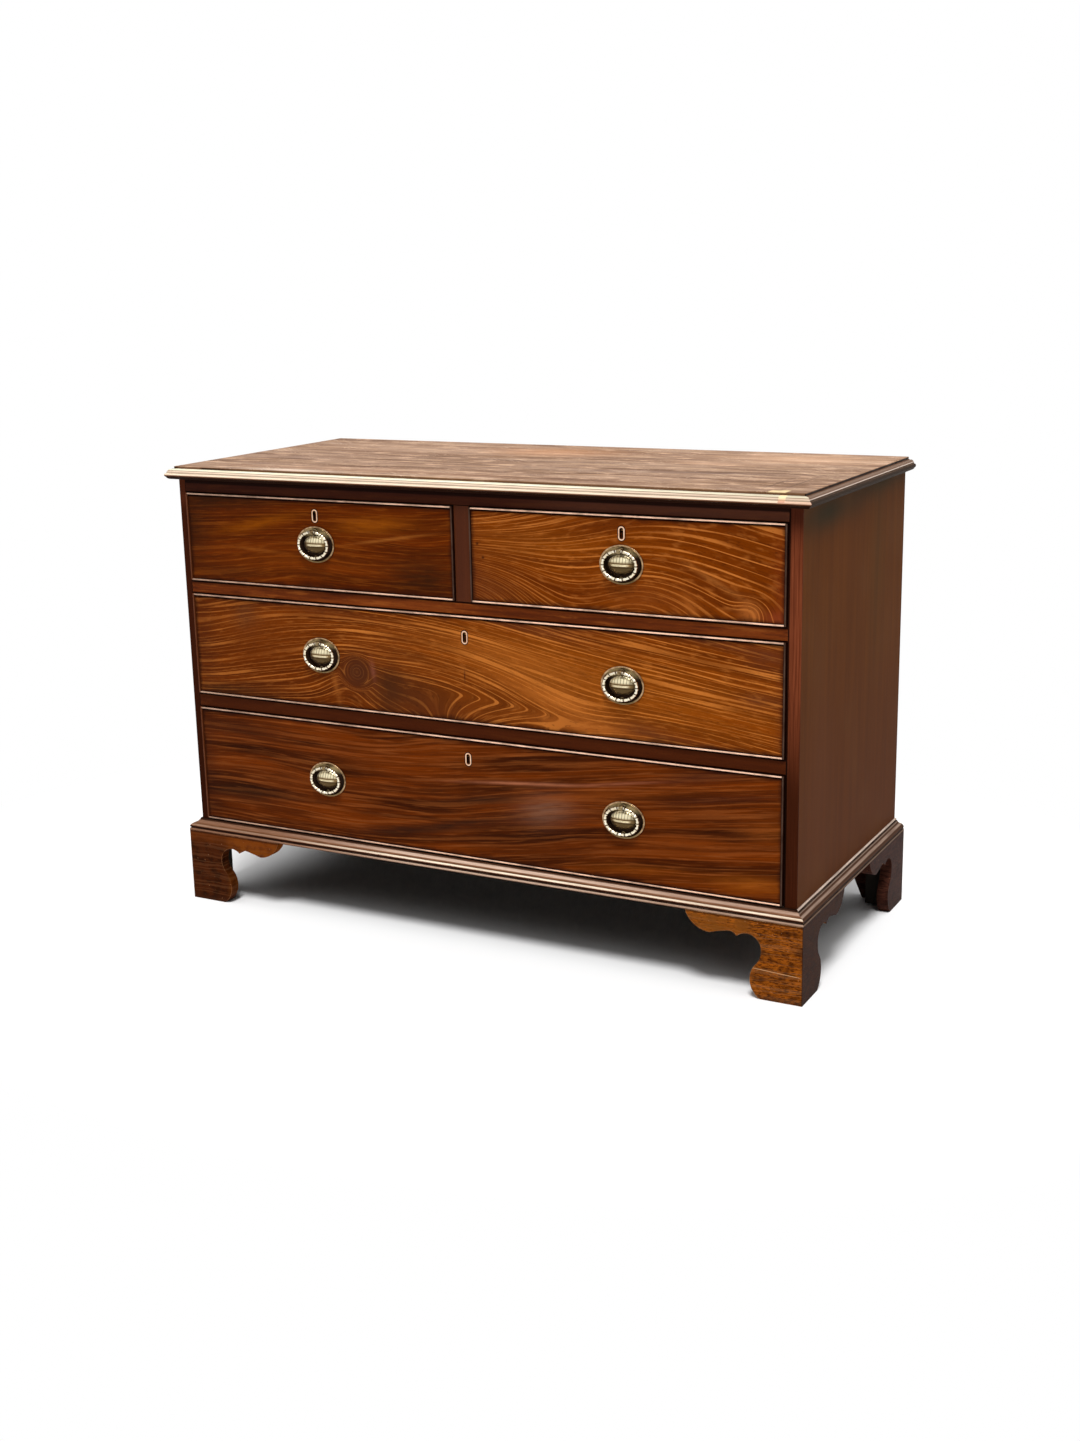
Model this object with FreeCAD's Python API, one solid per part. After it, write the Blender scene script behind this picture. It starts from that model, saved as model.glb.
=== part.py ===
import FreeCAD, Part

import os

from FreeCAD import Matrix, Vector

os.makedirs("parts", exist_ok=True)

# A chest of two short over two long drawers on bracket feet. Millimetres.
# X runs to the right, Y to the back and Z up; the origin is the centre of the
# overall box, on the floor.

# ---- Carcase: driving dimensions ----
CARCASE_WIDTH = 1150.0
CARCASE_DEPTH = 512.0
SIDE_THICKNESS = 17.5         # mean of the two sides
INNER_SHIFT = -4.0           # everything between the sides sits this far off centre
BOTTOM_THICKNESS = 22.5
LOWER_RAIL_HEIGHT = 24.5
UPPER_RAIL_HEIGHT = 22.1
TOP_RAIL_HEIGHT = 22.5
RAIL_DEPTH = 75.0            # front to back, all front rails and the divider
BACK_RAIL_DEPTH = 60.0
DIVIDER_WIDTH = 28.0         # the upright between the two short drawers
BACK_THICKNESS = 10.0
BACK_BOARD_COUNT = 3
REBATE_WIDTH = 8.0           # how far the back boards are let into a side
HOUSING_DEPTH = 8.0          # how far rails and runners are let into a side
HOUSING_STOP = 12.0          # the housing stops this far behind the front edge
RUNNER_WIDTH = 30.0
DUSTBOARD_THICKNESS = 8.0
DUSTBOARD_TONGUE = 6.0
GUIDE_HEIGHT = 18.0
TENON_THICKNESS = 10.0       # the divider's stub tenons
TENON_LENGTH = 8.0
TENON_SHOULDER = 15.0
SIDE_LAP = 7.5               # mean wood left over the carcase dovetails
CARCASE_TAILS = 6
TAIL_SLOPE = 1.0 / 6.0
STOP_SIZE = (40.0, 25.0, 5.0)
STOP_INSET = 70.0
STOP_CLEARANCE = 0.35

# ---- Top ----
TOP_THICKNESS = 22.0
TOP_LIP = 5.0                # the top board itself past the carcase
TOP_OVERHANG = 18.0          # the nose of its moulding past the carcase
TOP_MOULDING_DROP = 4.0      # the moulding starts this far below the surface
ARRIS = 1.2

# ---- Base moulding and feet ----
BASE_PROJECTION = 17.6
BASE_HEIGHT = 21.0           # of the base moulding
FOOT_HEIGHT = 131.0
FOOT_THICKNESS = 20.0
FOOT_LENGTH = 198.0
FOOT_PATTERN = (198.0, 131.0)  # length and height that the bracket's outline is drawn at
REAR_BRACKET_TOP = 105.0
REAR_BRACKET_FOOT = 48.0
POST_SIZE = 32.0
POST_LIFT = 3.0
BLOCK_SIZE = 22.0
BLOCK_GAP = 10.0             # between a post and a glue block
BLOCK_INSET = 22.0           # a block's end inside the end of its bracket

# ---- Drawers ----
BOTTOM_DRAWER_HEIGHT = 210.0
MIDDLE_DRAWER_HEIGHT = 181.2
SHORT_DRAWER_HEIGHT = 154.8
BACK_SPACE = 22.0            # between a drawer and the back boards
DRAWER_GAP = 0.9             # above and below a drawer front
SIDE_GAP = 1.3               # beside a drawer
FRONT_PROUD = 1.5            # drawer fronts stand this far out of the carcase
RUN_CLEARANCE = 0.35         # under a drawer side
FRONT_THICKNESS = 20.0
BOX_THICKNESS = 9.0          # drawer sides and backs
PANEL_THICKNESS = 8.0
PANEL_LIFT = 10.0            # bottom panel above the drawer side's lower edge
PANEL_TONGUE = 4.5
MUNTIN_WIDTH = 50.0
MUNTIN_DROP = 4.0
MUNTIN_RISE = 3.0
SIDE_DROP = 6.0              # drawer sides below the top of the front
BACK_DROP = 12.0
TAIL_PITCH = 36.0
TAIL_SHARE = 0.62            # root of a dovetail as a share of its pitch
BEAD_THICKNESS = 3.2
BEAD_DEPTH = 10.0
BEAD_FLAT = 1.5              # flat part of the bead that stands proud

# ---- Locks and escutcheons ----
SHORT_KEY_DROP = 29.0        # middle of the keyhole below the drawer's top edge
LONG_KEY_DROP = 36.6
LOCK_TAIL = 12.0             # case below the middle of the keyhole
LOCK_PLATE = (60.0, 2.0)     # width and thickness of the lock's plates
LOCK_CASE = (46.0, 11.0)     # width of the case and its full depth
BOLT_SIZE = (23.2, 4.2, 19.7)
BOLT_CLEARANCE = 0.4
BOLT_THROW = 7.0
BOLT_INSET = 4.8             # back face of the bolt inside the plate's face
MORTISE_SPARE = 1.5
KEY_PIN_RADIUS = 1.1
ESCUTCHEON_SIZE = (13.6, 24.7)
ESCUTCHEON_DEPTH = 3.0
ESCUTCHEON_PROUD = 0.4
KEYHOLE_RADIUS = 3.2
KEYHOLE_RISE = 5.0
KEYHOLE_WAIST = 4.0
KEYHOLE_FOOT = 5.6
KEYHOLE_DROP = 8.6

# ---- Handles ----
PLATE_SIZE = (75.0, 62.0)
PLATE_FIELD = 1.2
PLATE_RIM = (2.9, 2.2)       # width and height of the raised rim
BOSS_SIZE = (46.0, 32.0)
BOSS_HEIGHT = 9.5
RING_SIZE = (62.0, 49.0)
RING_RADIUS = 2.3            # of the ring's section
RING_STANDOFF = 9.5          # ring centreline in front of the drawer face
KNUCKLE_WIDTH = 7.0
KNUCKLE_WALL = 1.4
KNUCKLE_CLEARANCE = 0.5
SHANK_RADIUS = 2.3
SHANK_CLEARANCE = 0.3        # of its hole in the drawer front
NUT_RADIUS = 6.5
NUT_THICKNESS = 3.5
SHANK_END = 2.5
BUTTON_GAP = 0.4

# ---- Heights and planes worked out from them ----
BACK = (CARCASE_DEPTH + TOP_OVERHANG) / 2
FRONT = BACK - CARCASE_DEPTH
SIDE_X = CARCASE_WIDTH / 2
INNER_X = SIDE_X - SIDE_THICKNESS
INNER_BACK = BACK - BACK_THICKNESS
BODY_BOTTOM = FOOT_HEIGHT
FLOOR_Z = BODY_BOTTOM + BOTTOM_THICKNESS
LOWER_RAIL_Z = FLOOR_Z + BOTTOM_DRAWER_HEIGHT + 2 * DRAWER_GAP
LOWER_RUN_Z = LOWER_RAIL_Z + LOWER_RAIL_HEIGHT
UPPER_RAIL_Z = LOWER_RUN_Z + MIDDLE_DRAWER_HEIGHT + 2 * DRAWER_GAP
UPPER_RUN_Z = UPPER_RAIL_Z + UPPER_RAIL_HEIGHT
TOP_RAIL_Z = UPPER_RUN_Z + SHORT_DRAWER_HEIGHT + 2 * DRAWER_GAP
BODY_TOP = TOP_RAIL_Z + TOP_RAIL_HEIGHT
TOP_Z = BODY_TOP + TOP_THICKNESS
RAIL_BACK = FRONT + RAIL_DEPTH
CENTRE_RUNNER_X = DIVIDER_WIDTH / 2 + RUNNER_WIDTH / 2
FACE = FRONT - FRONT_PROUD
LOCK_FACE = FACE + FRONT_THICKNESS
DRAWER_BACK = INNER_BACK - BACK_SPACE
BLOCK_START = FOOT_THICKNESS + POST_SIZE + BLOCK_GAP
BLOCK_END = FOOT_LENGTH - BLOCK_INSET


# ---- Shape helpers ----
def box(x0, x1, y0, y1, z0, z1):
    return Part.makeBox(x1 - x0, y1 - y0, z1 - z0, Vector(x0, y0, z0))


def mirrored(shape):
    return shape.mirror(Vector(0, 0, 0), Vector(1, 0, 0))


def pair(shape):
    """A right-hand piece and its left-hand twin."""
    return [mirrored(shape), shape]


def shifted(shape):
    """A piece drawn about the middle of the drawers, moved to its place."""
    return shape.translated(Vector(INNER_SHIFT, 0, 0))


def outline(place, start, *steps):
    """A closed flat face. A step is a point, or (through, end) for an arc."""
    here = place(*start)
    edges = []
    for step in list(steps) + [start]:
        if isinstance(step[0], tuple):
            through, end = place(*step[0]), place(*step[1])
            edges.append(Part.Arc(here, through, end).toShape())
        else:
            end = place(*step)
            if end.distanceToPoint(here) < 1e-6:
                continue
            edges.append(Part.makeLine(here, end))
        here = end
    return Part.Face(Part.Wire(edges))


def in_xy(z):
    return lambda x, y: Vector(x, y, z)


def in_xz(y):
    return lambda x, z: Vector(x, y, z)


def in_yz(x):
    return lambda y, z: Vector(x, y, z)


def plan_prism(z0, z1, *points):
    return outline(in_xy(z0), *points).extrude(Vector(0, 0, z1 - z0))


def front_prism(y0, y1, *points):
    return outline(in_xz(y0), *points).extrude(Vector(0, y1 - y0, 0))


def side_prism(x0, x1, *points):
    return outline(in_yz(x0), *points).extrude(Vector(x1 - x0, 0, 0))


def pin_along_y(x, z, radius, y0, y1):
    return Part.makeCylinder(radius, y1 - y0, Vector(x, y0, z), Vector(0, 1, 0))


def join(first, *others):
    return first.fuse(list(others)).removeSplitter()


def save(node, *shapes):
    solids = [solid for shape in shapes for solid in shape.Solids]
    Part.makeCompound(solids).exportStep("parts/" + node + ".step")


def save_inner(node, *shapes):
    save(node, *[shifted(shape) for shape in shapes])


# ---- Carcase joints ----
def plan_tail(x_root, x_tip, y_mid, root_width, z0, z1):
    """A carcase dovetail seen from above: it widens from its root to its tip."""
    half = root_width / 2
    flare = half + (x_tip - x_root) * TAIL_SLOPE
    return plan_prism(z0, z1, (x_root, y_mid - half), (x_tip, y_mid - flare),
                      (x_tip, y_mid + flare), (x_root, y_mid + half))


def bottom_tails():
    pitch = (INNER_BACK - FRONT) / CARCASE_TAILS
    middles = [FRONT + pitch * (n + 0.5) for n in range(CARCASE_TAILS)]
    return [plan_tail(INNER_X, SIDE_X - SIDE_LAP, y, pitch * TAIL_SHARE, BODY_BOTTOM, FLOOR_Z)
            for y in middles]


def top_rail_tail(y_mid, depth):
    return plan_tail(INNER_X, SIDE_X - SIDE_LAP, y_mid, depth * TAIL_SHARE, TOP_RAIL_Z, BODY_TOP)


def front_rail_tail():
    return top_rail_tail(FRONT + RAIL_DEPTH / 2, RAIL_DEPTH)


def back_rail_tail():
    return top_rail_tail(INNER_BACK - BACK_RAIL_DEPTH / 2, BACK_RAIL_DEPTH)


def housing(z0, z1):
    return box(INNER_X, INNER_X + HOUSING_DEPTH, FRONT + HOUSING_STOP, INNER_BACK, z0, z1)


def divider_tenon(z0, z1):
    half = TENON_THICKNESS / 2
    return box(-half, half, FRONT + TENON_SHOULDER, RAIL_BACK - TENON_SHOULDER, z0, z1)


def lower_tenon():
    return divider_tenon(UPPER_RUN_Z - TENON_LENGTH, UPPER_RUN_Z)


def upper_tenon():
    return divider_tenon(TOP_RAIL_Z, TOP_RAIL_Z + TENON_LENGTH)


# ---- Carcase ----
def make_sides():
    rebate = box(INNER_X, INNER_X + REBATE_WIDTH, INNER_BACK, BACK, BODY_BOTTOM, BODY_TOP)
    housings = [housing(LOWER_RAIL_Z, LOWER_RUN_Z), housing(UPPER_RAIL_Z, UPPER_RUN_Z)]
    cuts = [rebate, front_rail_tail(), back_rail_tail()] + housings + bottom_tails()
    left = box(-SIDE_X, INNER_SHIFT - INNER_X, FRONT, BACK, BODY_BOTTOM, BODY_TOP)
    right = box(INNER_SHIFT + INNER_X, SIDE_X, FRONT, BACK, BODY_BOTTOM, BODY_TOP)
    save("side_left", left.cut([shifted(mirrored(cut)) for cut in cuts]))
    save("side_right", right.cut([shifted(cut) for cut in cuts]))


def make_bottom():
    board = box(-INNER_X, INNER_X, FRONT, INNER_BACK, BODY_BOTTOM, FLOOR_Z)
    tails = [tail for one in bottom_tails() for tail in pair(one)]
    save_inner("bottom_board", join(board, *tails))


def make_top_rails(mortises):
    front = box(-INNER_X, INNER_X, FRONT, RAIL_BACK, TOP_RAIL_Z, BODY_TOP)
    front = join(front, *pair(front_rail_tail())).cut([upper_tenon()] + mortises)
    back = box(-INNER_X, INNER_X, INNER_BACK - BACK_RAIL_DEPTH, INNER_BACK, TOP_RAIL_Z, BODY_TOP)
    save_inner("top_rails", front, join(back, *pair(back_rail_tail())))


def rail(z0, z1):
    bar = box(-INNER_X, INNER_X, FRONT, RAIL_BACK, z0, z1)
    tongue = box(INNER_X, INNER_X + HOUSING_DEPTH, FRONT + HOUSING_STOP, RAIL_BACK, z0, z1)
    return join(bar, *pair(tongue))


def runner(z0, z1):
    return box(INNER_X - RUNNER_WIDTH, INNER_X + HOUSING_DEPTH, RAIL_BACK, INNER_BACK, z0, z1)


def dustboard(x0, x1, z0, z1):
    """A thin board between two drawer levels, tongued into rail and runners."""
    mid = (z0 + z1) / 2
    half = DUSTBOARD_THICKNESS / 2
    return box(x0 - DUSTBOARD_TONGUE, x1 + DUSTBOARD_TONGUE, RAIL_BACK - DUSTBOARD_TONGUE,
               INNER_BACK, mid - half, mid + half)


def make_levels(upper_mortises, lower_mortises):
    """The two drawer rails with the runners, guide and dustboards behind them."""
    edge = INNER_X - RUNNER_WIDTH
    upper = pair(dustboard(CENTRE_RUNNER_X, edge, UPPER_RAIL_Z, UPPER_RUN_Z))
    lower = [dustboard(-edge, edge, LOWER_RAIL_Z, LOWER_RUN_Z)]
    save_inner("dustboards", *upper, *lower)

    upper_rail = rail(UPPER_RAIL_Z, UPPER_RUN_Z).cut(upper + [lower_tenon()] + upper_mortises)
    lower_rail = rail(LOWER_RAIL_Z, LOWER_RUN_Z).cut(lower + lower_mortises)
    save_inner("drawer_rails", upper_rail, lower_rail)

    wide = CENTRE_RUNNER_X
    centre = box(-wide, wide, RAIL_BACK, INNER_BACK, UPPER_RAIL_Z, UPPER_RUN_Z)
    runners = [one.cut(upper) for one in pair(runner(UPPER_RAIL_Z, UPPER_RUN_Z)) + [centre]]
    runners += [one.cut(lower) for one in pair(runner(LOWER_RAIL_Z, LOWER_RUN_Z))]
    half = DIVIDER_WIDTH / 2
    guide = box(-half, half, RAIL_BACK, INNER_BACK, UPPER_RUN_Z, UPPER_RUN_Z + GUIDE_HEIGHT)
    kicker_end = INNER_BACK - BACK_RAIL_DEPTH
    kicker = box(INNER_X - RUNNER_WIDTH, INNER_X, RAIL_BACK, kicker_end, TOP_RAIL_Z, BODY_TOP)
    middle = box(-wide, wide, RAIL_BACK, kicker_end, TOP_RAIL_Z, BODY_TOP)
    save_inner("drawer_runners", *runners, guide, *pair(kicker), middle)


def make_divider():
    half = DIVIDER_WIDTH / 2
    post = box(-half, half, FRONT, RAIL_BACK, UPPER_RUN_Z, TOP_RAIL_Z)
    save_inner("centre_divider", join(post, lower_tenon(), upper_tenon()))


def make_back_boards():
    edge = INNER_X + REBATE_WIDTH
    width = (BODY_TOP - BODY_BOTTOM) / BACK_BOARD_COUNT
    levels = [BODY_BOTTOM + n * width for n in range(BACK_BOARD_COUNT)]
    save_inner("back_boards", *[box(-edge, edge, INNER_BACK, BACK, z, z + width) for z in levels])


def make_drawer_stops():
    """Small blocks on the rails that meet the back of each drawer front."""
    width, depth, height = STOP_SIZE
    y0 = LOCK_FACE + STOP_CLEARANCE
    stops = []
    for z in (FLOOR_Z, LOWER_RUN_Z, UPPER_RUN_Z):
        x1 = INNER_X - STOP_INSET
        stops += pair(box(x1 - width, x1, y0, y0 + depth, z, z + height))
    inner = DIVIDER_WIDTH / 2 + STOP_INSET
    stops += pair(box(inner, inner + width, y0, y0 + depth, UPPER_RUN_Z, UPPER_RUN_Z + height))
    save_inner("drawer_stops", *stops)


# ---- Top and mouldings ----
def make_top():
    edge = SIDE_X + TOP_LIP
    board = box(-edge, edge, FRONT - TOP_LIP, BACK, BODY_TOP, TOP_Z)
    sharp = [e for e in board.Edges
             if all(abs(v.Z - TOP_Z) < 1e-6 for v in e.Vertexes)
             and not all(abs(v.Y - BACK) < 1e-6 for v in e.Vertexes)]
    save("top_board", board.makeFillet(ARRIS, sharp))


def top_profile(place):
    """Under the lip: a quirk, an ovolo, a small step and a round nose."""
    z1 = TOP_Z - TOP_MOULDING_DROP
    nose = TOP_OVERHANG
    lip = TOP_LIP
    ovolo_mid = (nose + lip) / 2 + 1.3
    return outline(place, (lip, BODY_TOP), (nose - 8, BODY_TOP),
                   ((nose - 4, BODY_TOP + 1.6), (nose - 2.2, BODY_TOP + 4.2)),
                   ((nose, BODY_TOP + 7.6), (nose - 2.4, BODY_TOP + 10.8)),
                   (nose - 3.4, BODY_TOP + 10.8),
                   ((ovolo_mid, z1 - 2.4), (lip + 3.6, z1 - 0.6)),
                   (lip + 3.2, z1 - 1.4), (lip + 2.2, z1 - 1.4),
                   ((lip + 1.4, z1 - 0.3), (lip, z1)))


def base_profile(place):
    """From below: a bead level with the feet, a groove, a long ogee, a fillet."""
    out = BASE_PROJECTION
    z0 = BODY_BOTTOM
    z1 = z0 + BASE_HEIGHT
    ogee_mid = (out - 1.6) / 2 - 0.8
    return outline(place, (0, z0), (out, z0), (out, z0 + 2.6),
                   ((out - 0.5, z0 + 3.7), (out - 1.8, z0 + 4.2)),
                   (out - 1.8, z0 + 5.4), (out - 0.4, z0 + 5.8), (out - 0.4, z0 + 7.4),
                   ((out - 2.6, z0 + 11.0), (out - 6.6, z0 + 12.8)),
                   ((ogee_mid, z1 - 6.8), (5.0, z1 - 3.6)), (3.2, z1 - 3.6), (3.2, z1 - 1.0),
                   ((2.4, z1), (1.2, z1)), (0, z1))


def mitred_strips(profile, reach, z0, z1):
    """A front strip and two side strips, mitred at the front corners."""
    tip_x, tip_y = SIDE_X + reach, FRONT - reach
    along_front = profile(lambda out, z: Vector(-tip_x, FRONT - out, z))
    front = along_front.extrude(Vector(2 * tip_x, 0, 0)).common(
        plan_prism(z0, z1, (-SIDE_X, FRONT), (-tip_x, tip_y), (tip_x, tip_y), (SIDE_X, FRONT)))
    along_side = profile(lambda out, z: Vector(SIDE_X + out, tip_y, z))
    side = along_side.extrude(Vector(0, BACK - tip_y, 0)).common(
        plan_prism(z0, z1, (SIDE_X, FRONT), (tip_x, tip_y), (tip_x, BACK), (SIDE_X, BACK)))
    return [front] + pair(side)


def make_mouldings():
    save("top_moulding", *mitred_strips(top_profile, TOP_OVERHANG, BODY_TOP, TOP_Z))
    save("base_moulding", *mitred_strips(base_profile, BASE_PROJECTION, BODY_BOTTOM, FLOOR_Z))


# ---- Feet ----
def bracket_face(place):
    """One bracket of a foot; the first number is the way in from its corner."""
    length, top = FOOT_PATTERN

    def fitted(d, z):
        return place(d * FOOT_LENGTH / length, z * FOOT_HEIGHT / top)

    return outline(fitted, (0, 0), (70.5, 0),
                   ((82.5, 13), (87.5, 30)), ((85.8, 43.5), (79, 56)),
                   ((71.6, 67), (69, 80)), ((87.5, 105.6), (110, 99.6)),
                   ((116.5, 105.2), (124, 106.6)), ((140, 103.2), (156, 98.6)),
                   ((181, 107), (length, top)), (0, top))


def front_foot():
    """Two scrolled brackets mitred at the corner, right-hand foot."""
    x, y = SIDE_X + BASE_PROJECTION, FRONT - BASE_PROJECTION
    in_x, in_y = x - FOOT_THICKNESS, y + FOOT_THICKNESS
    front = bracket_face(lambda d, z: Vector(x - d, y, z)).extrude(Vector(0, FOOT_THICKNESS, 0))
    side = bracket_face(lambda d, z: Vector(x, y + d, z)).extrude(Vector(-FOOT_THICKNESS, 0, 0))
    beyond = FOOT_LENGTH + 1
    front = front.common(plan_prism(0, FOOT_HEIGHT, (x, y), (x - beyond, y),
                                    (x - beyond, in_y), (in_x, in_y)))
    side = side.common(plan_prism(0, FOOT_HEIGHT, (x, y), (x, y + beyond),
                                  (in_x, y + beyond), (in_x, in_y)))
    return [front, side]


def back_foot():
    """A scrolled side bracket with a plain bracket across the back."""
    x = SIDE_X + BASE_PROJECTION
    in_x = x - FOOT_THICKNESS
    side = bracket_face(lambda d, z: Vector(x, BACK - d, z)).extrude(Vector(-FOOT_THICKNESS, 0, 0))
    rear = front_prism(BACK - FOOT_THICKNESS, BACK, (in_x, 0), (in_x, FOOT_HEIGHT),
                       (in_x - REAR_BRACKET_TOP, FOOT_HEIGHT), (in_x - REAR_BRACKET_FOOT, 0))
    return [side, rear]


def foot_blocks():
    """A post in each foot and glue blocks along its brackets, right-hand side."""
    x1 = SIDE_X + BASE_PROJECTION - FOOT_THICKNESS
    z1 = FOOT_HEIGHT
    blocks = []
    corners = ((FRONT - BASE_PROJECTION, 1), (BACK, -1))
    for corner_y, way in corners:
        def span(near, far):
            return sorted((corner_y + way * near, corner_y + way * far))
        inside = FOOT_THICKNESS
        y0, y1 = span(inside, inside + POST_SIZE)
        blocks.append(box(x1 - POST_SIZE, x1, y0, y1, POST_LIFT, z1))
        y0, y1 = span(inside, inside + BLOCK_SIZE)
        across = BLOCK_END if way > 0 else REAR_BRACKET_TOP
        outer_x = x1 + FOOT_THICKNESS
        blocks.append(box(outer_x - across, outer_x - BLOCK_START, y0, y1, z1 - BLOCK_SIZE, z1))
        y0, y1 = span(BLOCK_START, BLOCK_END)
        blocks.append(box(x1 - BLOCK_SIZE, x1, y0, y1, z1 - BLOCK_SIZE, z1))
    return blocks


def make_feet():
    for place, solids in (("front", front_foot()), ("back", back_foot())):
        save("foot_" + place + "_right", *solids)
        save("foot_" + place + "_left", *[mirrored(solid) for solid in solids])
    save("foot_blocks", *[one for block in foot_blocks() for one in pair(block)])


# ---- Drawer parts ----
def bead_strips(x0, x1, z0, z1):
    """Four mitred cockbead strips; the top one covers the front's whole edge."""
    t = BEAD_THICKNESS
    y_flat = FACE - BEAD_FLAT
    y_nose = y_flat - t / 2

    def strip(place, depth):
        return outline(place, (depth, 0), (depth, t), (y_flat, t), ((y_nose, t / 2), (y_flat, 0)))

    y_low = FACE + BEAD_DEPTH
    top = strip(lambda y, s: Vector(x0, y, z1 - s), LOCK_FACE).extrude(Vector(x1 - x0, 0, 0))
    low = strip(lambda y, s: Vector(x0, y, z0 + s), y_low).extrude(Vector(x1 - x0, 0, 0))
    left = strip(lambda y, s: Vector(x0 + s, y, z0), y_low).extrude(Vector(0, 0, z1 - z0))
    right = strip(lambda y, s: Vector(x1 - s, y, z0), y_low).extrude(Vector(0, 0, z1 - z0))
    outer = ((x0, z0), (x1, z0), (x1, z1), (x0, z1))
    inner = ((x0 + t, z0 + t), (x1 - t, z0 + t), (x1 - t, z1 - t), (x0 + t, z1 - t))
    mitred = []
    for n, bar in enumerate((low, right, top, left)):
        m = (n + 1) % 4
        wedge = front_prism(y_nose, LOCK_FACE, outer[n], inner[n], inner[m], outer[m])
        mitred.append(bar.common(wedge))
    return mitred


def drawer_tails(x0, x1, y_root, y_tip, z0, z1):
    """A row of dovetails on the end of a drawer side."""
    count = max(2, round((z1 - z0) / TAIL_PITCH))
    pitch = (z1 - z0) / count
    half = pitch * TAIL_SHARE / 2
    flare = half + abs(y_tip - y_root) * TAIL_SLOPE
    tails = []
    for n in range(count):
        z = z0 + pitch * (n + 0.5)
        tails.append(side_prism(x0, x1, (y_root, z - half), (y_tip, z - flare),
                                (y_tip, z + flare), (y_root, z + half)))
    return tails


def lock_parts(x, z_top, key_drop):
    """Drawer lock let into the back of the front: its case and its bolt."""
    plate_width, plate = LOCK_PLATE
    case_width, depth = LOCK_CASE
    bolt_width, bolt_thick, bolt_height = BOLT_SIZE
    z0 = z_top - key_drop - LOCK_TAIL
    y0 = LOCK_FACE - depth
    half = plate_width / 2
    back_plate = box(x - half, x + half, LOCK_FACE - plate, LOCK_FACE, z0, z_top)
    selvedge = box(x - half, x + half, y0, LOCK_FACE, z_top - plate, z_top)
    body = box(x - case_width / 2, x + case_width / 2, y0, LOCK_FACE, z0 + plate, z_top)
    recess = join(back_plate, selvedge, body)
    y1 = LOCK_FACE - BOLT_INSET
    bolt = box(x - bolt_width / 2, x + bolt_width / 2, y1 - bolt_thick, y1,
               z_top - BOLT_CLEARANCE - bolt_height, z_top - BOLT_CLEARANCE)
    c = BOLT_CLEARANCE
    slot = box(x - bolt_width / 2 - c, x + bolt_width / 2 + c, y1 - bolt_thick - c, y1 + c,
               z_top - bolt_height - 2 * c, z_top + c)
    pin_z = z_top - key_drop + KEYHOLE_RISE
    key_pin = pin_along_y(x, pin_z, KEY_PIN_RADIUS, FACE + ESCUTCHEON_DEPTH, y0)
    mortise = box(x - bolt_width / 2 - c, x + bolt_width / 2 + c, y1 - bolt_thick - c, y1 + c,
                  z_top, z_top + BOLT_THROW + MORTISE_SPARE)
    return {"case": join(recess.cut(slot), key_pin), "recess": recess, "bolt": bolt,
            "mortise": mortise}


def keyhole(x, z, y0, y1):
    """Round above, a slot that flares below; z is the middle of the escutcheon."""
    top = z + KEYHOLE_RISE
    low = z - KEYHOLE_DROP
    slot = front_prism(y0, y1, (x - KEYHOLE_WAIST / 2, top), (x + KEYHOLE_WAIST / 2, top),
                       (x + KEYHOLE_FOOT / 2, low), (x - KEYHOLE_FOOT / 2, low))
    return join(pin_along_y(x, top, KEYHOLE_RADIUS, y0, y1), slot)


def escutcheon_blank(x, z, y0, y1):
    width, height = ESCUTCHEON_SIZE
    r = width / 2
    low, high = z - height / 2 + r, z + height / 2 - r
    return front_prism(y0, y1, (x - r, low), ((x, low - r), (x + r, low)),
                       (x + r, high), ((x, high + r), (x - r, high)))


def oval_prism(x, z, width, height, y0, y1):
    ellipse = Part.Ellipse(Vector(x, y0, z), width / 2, height / 2)
    ellipse.Axis = Vector(0, 1, 0)
    ellipse.XAxis = Vector(1, 0, 0)
    return Part.Face(Part.Wire(ellipse.toShape())).extrude(Vector(0, y1 - y0, 0))


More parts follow.
